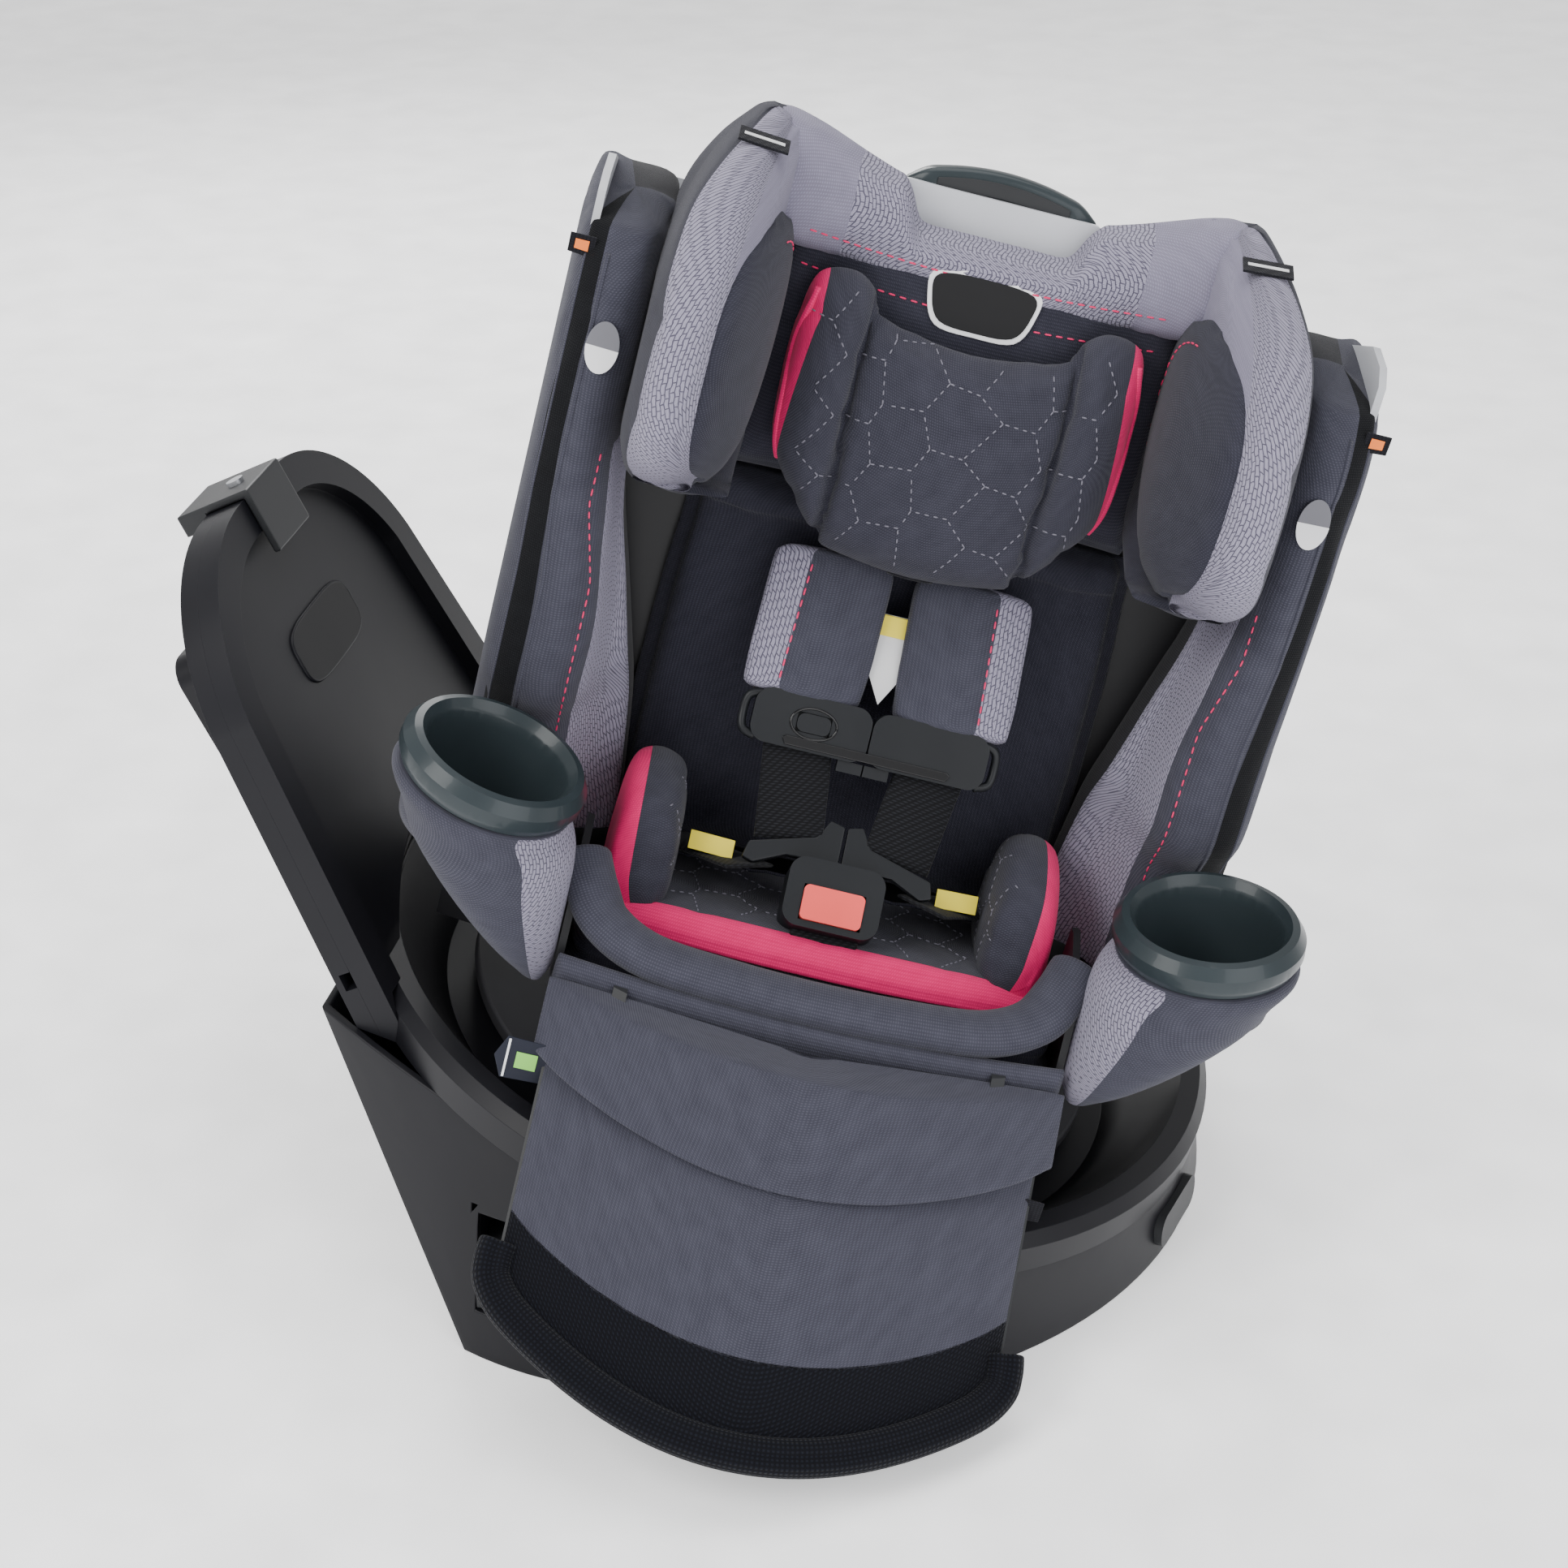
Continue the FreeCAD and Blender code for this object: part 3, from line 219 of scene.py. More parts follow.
def moulded(name, colour, rough, grain=0.06, coat=0.0, metal=0.0, worn=0.0):
    """Moulded plastic or metal: a fine grain, and slightly uneven gloss and tone."""
    mat, bsdf = new_material(name, colour, rough, 0.0, coat, metal)
    coords = node(mat, "ShaderNodeTexCoord").outputs["Object"]
    fine = cloth_noise(mat, coords, 1400)
    wide = cloth_noise(mat, coords, 16)
    lighter = tuple(c * (1.25 + worn) + 0.004 for c in colour)
    wire(mat, blend_colours(mat, wide, tuple(c * 0.85 for c in colour), lighter), bsdf.inputs["Base Color"])
    spread = node(mat, "ShaderNodeMapRange")
    spread.inputs["To Min"].default_value = rough - 0.06
    spread.inputs["To Max"].default_value = rough + 0.08
    wire(mat, wide, spread.inputs["Value"])
    wire(mat, spread.outputs[0], bsdf.inputs["Roughness"])
    finish_bump(mat, bsdf, fine, grain * 4, 0.12)
    return mat


CHARCOAL = ribbed("charcoal_knit", (0.026, 0.026, 0.038), (0.078, 0.079, 0.106))
# Darker copy of the charcoal knit: real darker fabric on the headrest's side pads, and painted shade on the back pad
# and the other pads of the seat's hollow, its tone matched where the back pad lies in shadow.
DARK_KNIT_AND_SHADE = ribbed("dark_knit_and_painted_shade", (0.015, 0.015, 0.023), (0.047, 0.047, 0.066))
LILAC = ribbed("lilac_knit", (0.14, 0.13, 0.18), (0.27, 0.255, 0.34), relief=0.35)
MESH = dashed_mesh("mauve_mesh", (0.085, 0.079, 0.115), (0.34, 0.32, 0.42), 90)
MESH_ACROSS = dashed_mesh("mauve_mesh_across", (0.085, 0.079, 0.115), (0.34, 0.32, 0.42))
PINK = ribbed("magenta_knit", (0.55, 0.008, 0.09), (0.88, 0.022, 0.18), relief=0.35, sheen=0.2)
BLACK = ribbed("black_knit", (0.004, 0.004, 0.006), (0.016, 0.016, 0.021), relief=0.3)
VELVET = ribbed("black_strip", (0.003, 0.003, 0.004), (0.010, 0.011, 0.013), rib=1.2, relief=0.6, sheen=0.1)
WAFFLE = waffle("black_waffle", (0.0012, 0.0012, 0.003), (0.0075, 0.009, 0.015))
QUILT = ribbed("quilted_knit", (0.018, 0.018, 0.027), (0.060, 0.060, 0.082), rib=1.4)
WEBBING = woven("webbing", (0.003, 0.003, 0.004), (0.017, 0.018, 0.022))
THREAD_PINK = moulded("pink_thread", (0.72, 0.03, 0.13), 0.7)
THREAD_GREY = moulded("grey_thread", (0.16, 0.155, 0.19), 0.8)
BASE_BLACK = moulded("base_black", (0.0062, 0.0062, 0.0085), 0.40, 0.05)
WALL_BLACK = moulded("wall_black", (0.0060, 0.0060, 0.0085), 0.42, 0.04)
TRIM = moulded("dark_trim", (0.020, 0.021, 0.023), 0.42, 0.08)
INNER = moulded("inner_plastic", (0.03, 0.03, 0.034), 0.5, 0.08)
GREY = moulded("pale_grey_plastic", (0.52, 0.53, 0.56), 0.38, 0.04)
RUBBER = moulded("green_black_rubber", (0.020, 0.028, 0.032), 0.30, 0.05, coat=0.12)
STEEL = moulded("zinc_steel", (0.46, 0.47, 0.49), 0.34, 0.1, metal=1.0)
CLIP = moulded("clip_black", (0.009, 0.010, 0.012), 0.36, 0.05)
GLOSS = moulded("gloss_black", (0.006, 0.006, 0.007), 0.12, 0.0, coat=0.5)
JET = moulded("badge_black", (0.004, 0.004, 0.005), 0.5, 0.02)
RED = moulded("coral_button", (0.80, 0.085, 0.075), 0.34, 0.03, coat=0.3)
WHITE = moulded("white_border", (0.78, 0.78, 0.80), 0.4, 0.02)
LABEL = moulded("pale_label", (0.62, 0.62, 0.63), 0.55, 0.03)
YELLOW = moulded("yellow_label", (0.80, 0.66, 0.06), 0.55, 0.03)
ORANGE = moulded("orange_mark", (0.85, 0.20, 0.03), 0.5, 0.03)
GREEN = moulded("green_mark", (0.22, 0.55, 0.10), 0.5, 0.03)
SLATE = moulded("sticker_grey", (0.15, 0.15, 0.17), 0.5, 0.03)
NAVY = moulded("navy_tag", (0.010, 0.012, 0.022), 0.6, 0.05)


# Mesh building

def spline(a, b, c, d, t):
    """Catmull-Rom between b and c."""
    return 0.5 * (2 * b + (c - a) * t + (2 * a - 5 * b + 4 * c - d) * t * t + (3 * b - a - 3 * c + d) * t ** 3)


def closed_curve(points, per):
    count = len(points)
    out = []
    for k in range(count):
        a, b, c, d = (points[(k + o) % count] for o in (-1, 0, 1, 2))
        out += [spline(a, b, c, d, i / per) for i in range(per)]
    return out


def open_curve(points, per):
    """Smooth line through points, with both ends kept."""
    ends = [points[0] * 2 - points[1]] + list(points) + [points[-1] * 2 - points[-2]]
    out = []
    for k in range(len(points) - 1):
        out += [spline(*ends[k:k + 4], i / per) for i in range(per)]
    return out + [points[-1]]


def build(name, where, verts, faces, material_of, uvs, mats, body):
    """Mesh object from local millimetre points, riding on a CAD body."""
    mesh = bpy.data.meshes.new(name)
    mesh.from_pydata([where @ (v * MM) for v in verts], [], faces)
    for mat in mats:
        mesh.materials.append(mat)
    layer = mesh.uv_layers.new(name="UVMap")
    for poly, index, corners in zip(mesh.polygons, material_of, uvs):
        poly.material_index = index
        poly.use_smooth = True
        for loop, uv in zip(poly.loop_indices, corners):
            layer.data[loop].uv = uv
    obj = bpy.data.objects.new(name, mesh)
    bpy.context.scene.collection.objects.link(obj)
    bm = bmesh.new()
    bm.from_mesh(mesh)
    bmesh.ops.recalc_face_normals(bm, faces=bm.faces)
    bm.to_mesh(mesh)
    bm.free()
    if body:
        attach(obj, body)
    return obj


def loft(name, where, sections, mats, body, paint=None, per=6, steps=4, dome=(5.0, 5.0)):
    """Closed padded form through closed sections of control points. paint(i, k) gives the index
    of the material between sections i and i + 1 and between control points k and k + 1."""
    count = len(sections[0])
    columns = [open_curve([s[k] for s in sections], steps) for k in range(count)]
    rings = [closed_curve([c[j] for c in columns], per) for j in range(len(columns[0]))]
    spans = [min(j // steps, len(sections) - 2) for j in range(len(rings))]
    for end, step in ((0, 1), (-1, -1)):
        depth = dome[0] if end == 0 else dome[1]
        edge = rings[end]
        centre = sum(edge, Vector()) / len(edge)
        inward = rings[end + step]
        out = (centre - sum(inward, Vector()) / len(inward)).normalized()
        caps = []
        for turn in (25, 50, 70, 84):
            a = math.radians(turn)
            lift = out * depth * math.sin(a)
            caps.append([centre + (p - centre) * math.cos(a) + lift for p in edge])
        if end == 0:
            rings = caps[::-1] + rings
            spans = [0] * 4 + spans
        else:
            rings = rings + caps
            spans = spans + [spans[-1]] * 4
    around = len(rings[0])
    verts = [p for ring in rings for p in ring]
    u_at, v_at = [], [[0.0] * (around + 1)]
    for ring in rings:
        u_at.append([0.0])
        for i in range(around):
            u_at[-1].append(u_at[-1][-1] + (ring[(i + 1) % around] - ring[i]).length)
    for a, b in zip(rings, rings[1:]):
        v_at.append([v_at[-1][i] + (b[i % around] - a[i % around]).length for i in range(around + 1)])
    faces, kinds, uvs = [], [], []
    for j in range(len(rings) - 1):
        for i in range(around):
            n = (i + 1) % around
            faces.append((j * around + i, j * around + n, (j + 1) * around + n, (j + 1) * around + i))
            kinds.append(paint(spans[j], i // per) if paint else 0)
            uvs.append([(u_at[r][c], v_at[r][c]) for r, c in ((j, i), (j, i + 1), (j + 1, i + 1), (j + 1, i))])
    for j in (0, len(rings) - 1):
        verts.append(sum(rings[j], Vector()) / around)
        for i in range(around):
            n = (i + 1) % around
            faces.append((j * around + i, j * around + n, len(verts) - 1))
            kinds.append(paint(spans[j], i // per) if paint else 0)
            uvs.append([(u_at[j][i], v_at[j][i]), (u_at[j][i + 1], v_at[j][i + 1]), (u_at[j][i], v_at[j][i])])
    return build(name, where, verts, faces, kinds, uvs, mats, body)


def sweep(name, where, path, shape, mat, body, side=Vector((0, 0, 1))):
    """Cross-section (across, up) swept along a local path, with flat ends."""
    verts, faces, kinds, uvs = [], [], [], []
    count = len(shape)
    length = 0.0
    rows = []
    for k, point in enumerate(path):
        ahead = path[min(k + 1, len(path) - 1)] - path[max(k - 1, 0)]
        across = ahead.cross(side)
        if across.length < 1e-6:
            across = ahead.cross(Vector((1, 0, 0)))
        across.normalize()
        up = across.cross(ahead).normalized()
        verts += [point + across * a + up * b for a, b in shape]
        if k:
            length += (point - path[k - 1]).length
        rows.append(length)
    girth = [0.0]
    for i in range(count):
        girth.append(girth[-1] + (Vector(shape[(i + 1) % count]) - Vector(shape[i])).length)
    for k in range(len(path) - 1):
        for i in range(count):
            n = (i + 1) % count
            faces.append((k * count + i, k * count + n, (k + 1) * count + n, (k + 1) * count + i))
            kinds.append(0)
            uvs.append(((girth[i], rows[k]), (girth[i + 1], rows[k]),
                        (girth[i + 1], rows[k + 1]), (girth[i], rows[k + 1])))
    for start in (0, (len(path) - 1) * count):
        faces.append(tuple(range(start, start + count)))
        kinds.append(0)
        uvs.append([(a, b) for a, b in shape])
    return build(name, where, verts, faces, kinds, uvs, [mat], body)


def circle(r, sides=12):
    return [(r * math.cos(2 * math.pi * i / sides), r * math.sin(2 * math.pi * i / sides)) for i in range(sides)]


def flat_oval(half, thick):
    """Cross-section of flat webbing with soft edges."""
    t = thick / 2
    return [(-half, 0), (-half + t, -t), (half - t, -t), (half, 0), (half - t, t), (-half + t, t)]


def plate(name, where, outline, depth, mat, body, bevel=0.6):
    """Thin plate from a closed local outline (3-D points), pushed along a direction, with soft edges."""
    count = len(outline)
    verts = list(outline) + [p + depth for p in outline]
    faces = [tuple(range(count)), tuple(range(count, 2 * count))]
    faces += [(i, (i + 1) % count, (i + 1) % count + count, i + count) for i in range(count)]
    uvs = [[(v.x + v.y, v.z) for v in (verts[i] for i in f)] for f in faces]
    obj = build(name, where, verts, faces, [0] * len(faces), uvs, [mat], body)
    soften(obj, bevel, 2)
    return obj


def soften(obj, width, segments=3, angle=28):
    """Rounds an object's sharp edges without touching its own mesh."""
    weld = obj.modifiers.new("weld", "WELD")
    weld.merge_threshold = 0.00002
    bevel = obj.modifiers.new("bevel", "BEVEL")
    bevel.width = width * MM
    bevel.segments = segments
    bevel.limit_method = "ANGLE"
    bevel.angle_limit = math.radians(angle)
    bevel.use_clamp_overlap = True
    normal = obj.modifiers.new("normals", "WEIGHTED_NORMAL")
    normal.keep_sharp = False


def mirror_x(points):
    return [Vector((-p.x, p.y, p.z)) for p in points]


def both(sections):
    """Mirror a list of sections across x = 0, keeping the winding."""
    return [mirror_x(s) for s in sections]


def pts(*values):
    return [Vector(v) for v in values]


# Sewing: lines are given in a local frame and dropped onto a piece along a local direction.

def drop(piece, where, line, direction, lift=0.0, reach=90.0):
    """Points of the line projected on the piece's surface, in row coordinates, with normals."""
    bpy.context.view_layer.update()
    tree = BVHTree.FromObject(piece, bpy.context.evaluated_depsgraph_get())
    inverse = piece.matrix_world.inverted()
    way = (inverse.to_3x3() @ (where.to_3x3() @ direction)).normalized()
    out = []
    for p in line:
        start = inverse @ (where @ (p * MM)) - way * reach * MM
        hit, normal, _, _ = tree.ray_cast(start, way, 2.2 * reach * MM)
        if hit is None:
            out.append(None)
        else:
            if normal.dot(way) > 0:
                normal = -normal
            out.append((piece.matrix_world @ (hit + normal * lift * MM), piece.matrix_world.to_3x3() @ normal))
    return out


def groove(piece, spots, depth, width):
    """Presses a seam into the piece's mesh along the spots."""
    found = [s for s in spots if s]
    if not found:
        return
    tree = KDTree(len(found))
    inverse = piece.matrix_world.inverted()
    for i, (p, _) in enumerate(found):
        tree.insert(inverse @ p, i)
    tree.balance()
    mesh = piece.data
    for v in mesh.vertices:
        _, index, distance = tree.find(v.co)
        share = distance / (width * MM)
        if share < 1:
            push = inverse.to_3x3() @ found[index][1]
            v.co -= push * depth * MM * (1 - share * share) ** 2
    mesh.update()


def resample(line, step):
    """Evenly spaced points along a line."""
    out = [line[0]]
    left = step
    for a, b in zip(line, line[1:]):
        run = (b - a).length
        travelled = left
        while travelled <= run:
            out.append(a + (b - a) * (travelled / run))
            travelled += step
        left = travelled - run
    return out


def stitches(name, piece, where, lines, direction, mat, body, dash=3.4, pitch=5.4, r=0.5, depth=0.9, width=4.5):
    """Sinks each seam a little and lays short raised threads along it."""
    fine = [resample(line, 1.2) for line in lines]
    if depth:
        spots = [s for line in fine for s in drop(piece, where, line, direction)]
        groove(piece, spots, depth, width)
    verts, faces = [], []
    for line in fine:
        spots = drop(piece, where, line, direction, 0.15)
        k = 0
        every = max(2, round(pitch / 1.2))
        long = max(1, round(dash / 1.2))
        while k + long < len(spots):
            a, b = spots[k], spots[k + long]
            k += every
            if not a or not b or (a[0] - b[0]).length > 2.2 * dash * MM:
                continue
            ahead = (b[0] - a[0]).normalized()
            across = ahead.cross(a[1]).normalized()
            base = len(verts)
            for point, scale in ((a[0], 0.5), (a[0].lerp(b[0], 0.2), 1), (a[0].lerp(b[0], 0.8), 1), (b[0], 0.5)):
                for i in range(6):
                    t = math.pi * i / 3
                    verts.append(point + (across * math.cos(t) + a[1] * math.sin(t)) * r * MM * scale)
            for row in range(3):
                for i in range(6):
                    n = (i + 1) % 6
                    low = base + row * 6
                    faces.append((low + i, low + n, low + 6 + n, low + 6 + i))
            faces.append(tuple(range(base, base + 6)))
            faces.append(tuple(range(base + 18, base + 24)))
    if not faces:
        return None
    verts = [v / MM for v in verts]
    uvs = [[(0, 0)] * len(f) for f in faces]
    return build(name, Matrix.Identity(4), verts, faces, [0] * len(faces), uvs, [mat], body)


def piping(name, piece, where, line, direction, r, mat, body, sink=0.35):
    """Round cord sewn on a seam."""
    spots = [s for s in drop(piece, where, resample(line, 3.0), direction, -sink * r) if s]
    path = [p / MM for p, _ in spots]
    up = (where.to_3x3() @ direction).normalized()
    return sweep(name, Matrix.Identity(4), path, circle(r, 10), mat, body, side=up)


soft = []


def soft_piece(obj, fill, cap, *replaced):
    """Hides the CAD parts it replaces, and puts the padded piece on the list for the cloth simulation."""
    if replaced:
        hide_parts(*replaced)
    soft.append((obj, cap))
    return obj


def puff_all(pressure=3.2, frames=20):
    """Cloth simulation of every padded piece at once: the skin swells and creases a little."""
    scene = bpy.context.scene
    for obj, _ in soft:
        cloth = obj.modifiers.new("cloth", "CLOTH")
        made = cloth.settings
        made.quality = 5
        made.mass = 0.2
        made.tension_stiffness = 22
        made.compression_stiffness = 12
        made.shear_stiffness = 8
        made.bending_stiffness = 0.6
        made.use_pressure = True
        made.uniform_pressure_force = pressure
        made.effector_weights.gravity = 0
        cloth.collision_settings.use_collision = False
        cloth.point_cache.frame_start = 1
        cloth.point_cache.frame_end = frames
    for f in range(1, frames + 1):
        scene.frame_set(f)
    graph = bpy.context.evaluated_depsgraph_get()
    for obj, cap in soft:
        made = obj.evaluated_get(graph).data
        moved = [v.co.copy() for v in made.vertices]
        for v, target in zip(obj.data.vertices, moved):
            push = target - v.co
            if push.length > cap * MM:
                push *= cap * MM / push.length
            v.co += push
        obj.modifiers.remove(obj.modifiers["cloth"])
        obj.data.update()
    scene.frame_set(1)


# Fixed numbers shared by several pieces, as in the CAD part

SHELL_SIDE = 204.0
BACKWARDS = Vector((0, 1, 0))
SIDES = ((1, "left"), (-1, "right"))


def wing_line(z):
    """Depth of the shell's front edge at a height of the seat frame."""
    return -54 + (z - 165) / 259 * 39


def fabric_rear(z):
    """Depth of the back fabric's rear plane at a height of the seat frame."""
    return 21 + (z - 42) * math.tan(math.radians(back_lean))


def flipped(side, sections):
    return sections if side > 0 else both(sections)


# Back and seat cushions

def back_cushion():
    rows = []
    for z, half, front, rear in (
            (16, 114, -1, 12), (30, 119, -3, 15), (90, 121, -4, 16), (160, 120, -5, 16),
            (204, 117, -5, 16), (214, 116, -9, 15), (226, 113, -9, 13), (233, 108, -3, 9)):
        rows.append(pts(
            (-half, rear, z), (-half - 2, (front + rear) / 2, z), (-half + 7, front + 1.5, z),
            (-half * 0.55, front, z), (0, front - 1.5, z), (half * 0.55, front, z), (half - 7, front + 1.5, z),
            (half + 2, (front + rear) / 2, z), (half, rear, z), (0, rear, z)))
    # The back pad's darker knit is painted shade: its tone was matched where the pad lies in shadow.
    obj = loft("back_pad", BACK, rows, [DARK_KNIT_AND_SHADE], "seat", per=7, steps=6, dome=(3, 3))
    return soft_piece(obj, 0.6, 3.0, "back_cushion")


def seat_cushion():
    rows = []
    for y, half, top in ((-131, 118, -8), (-122, 126, -2), (-70, 128, 0), (-20, 126, -1), (-9, 118, -6)):
        rows.append(pts(
            (-half, y, -22), (-half - 1, y, -12), (-half + 8, y, top), (0, y, top + 0.5), (half - 8, y, top),
            (half + 1, y, -12), (half, y, -22), (0, y, -25)))
    obj = loft("seat_pad", PAN, rows, [DARK_KNIT_AND_SHADE], "seat", dome=(3, 3))
    return soft_piece(obj, 0.6, 1.0, "seat_cushion")


# Side wings of the seat

WING_ROWS = (60, 100, 140, 168, 205, 250, 300, 350, 380, 396, 405)


def wing_inner(z):
    """Inside of the side wing: close to the child low down, clear of the headrest higher up."""
    return 124 + (z - 60) * 0.14 if z < 150 else 137 + min(1.0, (z - 150) / 120) * 31


def side_wing(side, word):
    """Padded cover over the shell's side: ribbed outside, black strip, bolster, mesh panel, black inside."""
    rows = []
    for z in WING_ROWS:
        rear = fabric_rear(z)
        nose = -46 - (z - 60) * 0.055 if z < 150 else wing_line(z) - 8
        inner = wing_inner(z)
        full = 1.0 if z < 372 else 1 - ((z - 372) / 33) ** 2 * 0.62
        mid = (nose + rear) / 2
        out = SHELL_SIDE + 4
        wide = min(50, out - inner - 1)
        behind = 26 if z < 350 else 26 - (z - 350) * 0.36
        nose += (1 - full) * 26
        rows.append(pts(
            (out, rear + behind, z), (out + 1.5, mid + 8, z), (out - 1, nose + 24, z),
            (out - wide * 0.14, nose + 5, z), (out - wide * 0.38, nose - 3 * full, z),
            (out - wide * 0.62, nose - 7 * full, z), (out - wide * 0.86, nose - 3 * full, z),
            (out - wide, nose + 9, z),
            ((out - wide + inner) / 2 - 3, mid - 4, z), (inner - 4, mid + 12, z),
            (inner + 2, rear - 2, z), (out - 14, rear + behind * 0.5, z)))

    def paint(i, k):
        if k == 3:
            return 1
        if k in (7, 8) and i < 6:
            return 2
        return 3 if k in (9, 10) else 0

    obj = loft("side_cover_" + word, SEAT, flipped(side, rows), [CHARCOAL, VELVET, MESH, BLACK],
               "seat", paint, per=6, steps=5, dome=(4, 6))
    return soft_piece(obj, 0.7, 2.0, "side_wing_" + word)


def wing_seam(side, share, low, high):
    """A line up the front of the wing: share 0 at its outside, 1 at the bolster's inner edge."""
    out = []
    for step in range(30):
        z = low + (high - low) * step / 29
        wide = min(50, SHELL_SIDE + 3 - wing_inner(z))
        out.append(Vector((side * (SHELL_SIDE + 4 - wide * share), 0, z)))
    return out


def side_wing_trim(side, word, cover):
    piping("bolster_piping_" + word, cover, SEAT, wing_seam(side, 0.42, 70, 396), BACKWARDS, 1.5, CHARCOAL, "seat")
    piping("strip_piping_" + word, cover, SEAT, wing_seam(side, 0.13, 70, 392), BACKWARDS, 0.9, CHARCOAL, "seat")
    stitches("wing_stitch_" + word, cover, SEAT, [wing_seam(side, 0.90, 96, 300)], BACKWARDS, THREAD_PINK, "seat",
             depth=0.6)


# Cup pods

def ring_points(where, r, z, count=12, squash=1.0):
    """Circle in a local frame, given back in seat frame millimetres."""
    out = []
    for i in range(count):
        a = 2 * math.pi * i / count
        p = where @ (Vector((r * math.cos(a), r * math.sin(a) * squash, z)) * MM)
        out.append((SEAT.inverted() @ p) / MM)
    return out


def cup_pod(side, word):
    """Tapering fabric pod with an open top for the cup: mesh on its inner front, ribbed outside."""
    cup = CUP[1]
    rows = [
        ring_points(cup, 35.5, -48.5), ring_points(cup, 39.5, -30), ring_points(cup, 41, -17),
        ring_points(cup, 44.5, -15.4), ring_points(cup, 47.5, -16.5), ring_points(cup, 48.6, -22)]
    for x, y, z, lean, r in ((186, -117, 122, 11, 48), (181, -120, 104, 14, 45.5), (171, -127, 84, 19, 38),
                             (160, -136, 67, 24, 26), (151, -144, 56, 28, 12)):
        rows.append(ring_points(turned(SEAT, (x, y, z), "Y", -lean), r, 0))
    for row in rows:
        for p in row:
            p.x = max(p.x, 137.0)

    def paint(i, k):
        return 1 if k in (5, 6, 7) and i > 3 else 0

    obj = loft("cup_pod_cover_" + word, SEAT, flipped(side, rows), [CHARCOAL, MESH], "seat",
               paint, per=5, steps=4, dome=(0.5, 3))
    return soft_piece(obj, 0.7, 1.0, "cup_pod_" + word)


def pod_trim(side, word, cover):
    lines = []
    for start, finish in (((174, 0, 118), (149, 0, 66)), ((187, 0, 118), (156, 0, 63))):
        a, b = Vector(start), Vector(finish)
        lines.append([Vector((side * p.x, p.y, p.z)) for p in (a.lerp(b, t / 12) for t in range(13))])
    stitches("pod_stitch_" + word, cover, SEAT, lines, BACKWARDS, THREAD_PINK, "seat", depth=0.7)
    tack = [Vector((side * x, 0, 118)) for x in (176, 178, 180, 182, 184)]
    spots = [s for s in drop(cover, SEAT, tack, BACKWARDS, 0.8) if s]
    if len(spots) > 2:
        path = [p / MM for p, _ in spots]
        sweep("pod_tack_" + word, Matrix.Identity(4), path, circle(1.7, 10), BLACK, "seat")


# Front roll, fascia and leg rest

def front_roll():
    """Thick rolled edge round the front of the seat, flattened where it is sewn down."""
    half = pts((134, -99, 100), (126, -116, 91), (114, -131, 81), (88, -143, 75), (44, -148, 73.5))
    path = open_curve(mirror_x(half) + [Vector((0, -149.5, 73))] + half[::-1], 6)
    shape = [(r * 1.12 * math.cos(a), r * 0.95 * math.sin(a)) for r, a in
             ((12.2 + 0.9 * math.cos(2 * math.pi * i / 9), 2 * math.pi * i / 18) for i in range(18))]
    obj = sweep("seat_front_roll", SEAT, path, shape, CHARCOAL, "seat")
    soften(obj, 4.0, 3, 60)
    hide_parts("front_roll")
    seam = [Vector((p.x, p.y - 10.6, p.z - 2.5)) for p in path[4:-4]]
    sweep("roll_seam", SEAT, seam, circle(1.1, 8), DARK_KNIT_AND_SHADE, "seat")
    return obj


def fascia():
    """Ribbed panel between the roll and the leg rest."""
    rows = []
    for x in (-134, -128, -90, -45, 0, 45, 90, 128, 134):
        bow = 12 * (1 - (x / 134) ** 2)
        flat = 1.0 if abs(x) < 132 else 0.4
        y = -149.4 - bow
        rows.append(pts((x, y + 2, 68), (x, y - 5 * flat, 66), (x, y - 6.5 * flat, 55), (x, y - 4 * flat, 42),
                        (x, y + 1, 38), (x, y + 3, 46), (x, y + 3, 60)))
    obj = loft("seat_fascia", SEAT, rows, [CHARCOAL], "seat", dome=(2, 2))
    return obj


LEG_HALF = 130.0


def leg(x, share, out, half=LEG_HALF, top=60.0, low_mid=-70.0, low_end=-52.0):
    """Point on the leg rest: share runs down from its top edge to its rounded bottom edge."""
    t = x / LEG_HALF
    low = low_mid + (low_end - low_mid) * t * t
    z = top + (low - top) * share
    y = -156 - (53 - z) * 1.03 - 38 * (1 - t * t)
    return Vector((x * half / LEG_HALF, y - out, z))


ACROSS = (-130, -112, -80, -40, 0, 40, 80, 112, 130)


def leg_row(share, out, thick, half=LEG_HALF, **k):
    """Closed section across the leg rest, softly rounded at both side edges."""
    front = []
    for x in ACROSS:
        edge = 0.45 if abs(x) > 125 else 1.0
        front.append(leg(x, share, out + thick * edge, half, **k))
    back = [leg(x, share, out, half, **k) for x in (118, 40, -40, -118)]
    return front + back


def leg_panel():
    """Ribbed upper panel and black grip panel below, one continuous pad."""
    shares = (0.03, 0.2, 0.4, 0.6, 0.755, 0.765, 0.85, 0.93, 0.975)
    rows = [leg_row(s, 4.3, 5.2, 128) for s in shares]
    obj = loft("leg_panel", SEAT, rows, [CHARCOAL, WAFFLE], "leg_rest",
               lambda i, k: 1 if i >= 5 else 0, per=6, steps=4, dome=(2, 2))
    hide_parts("leg_pad")
    return obj


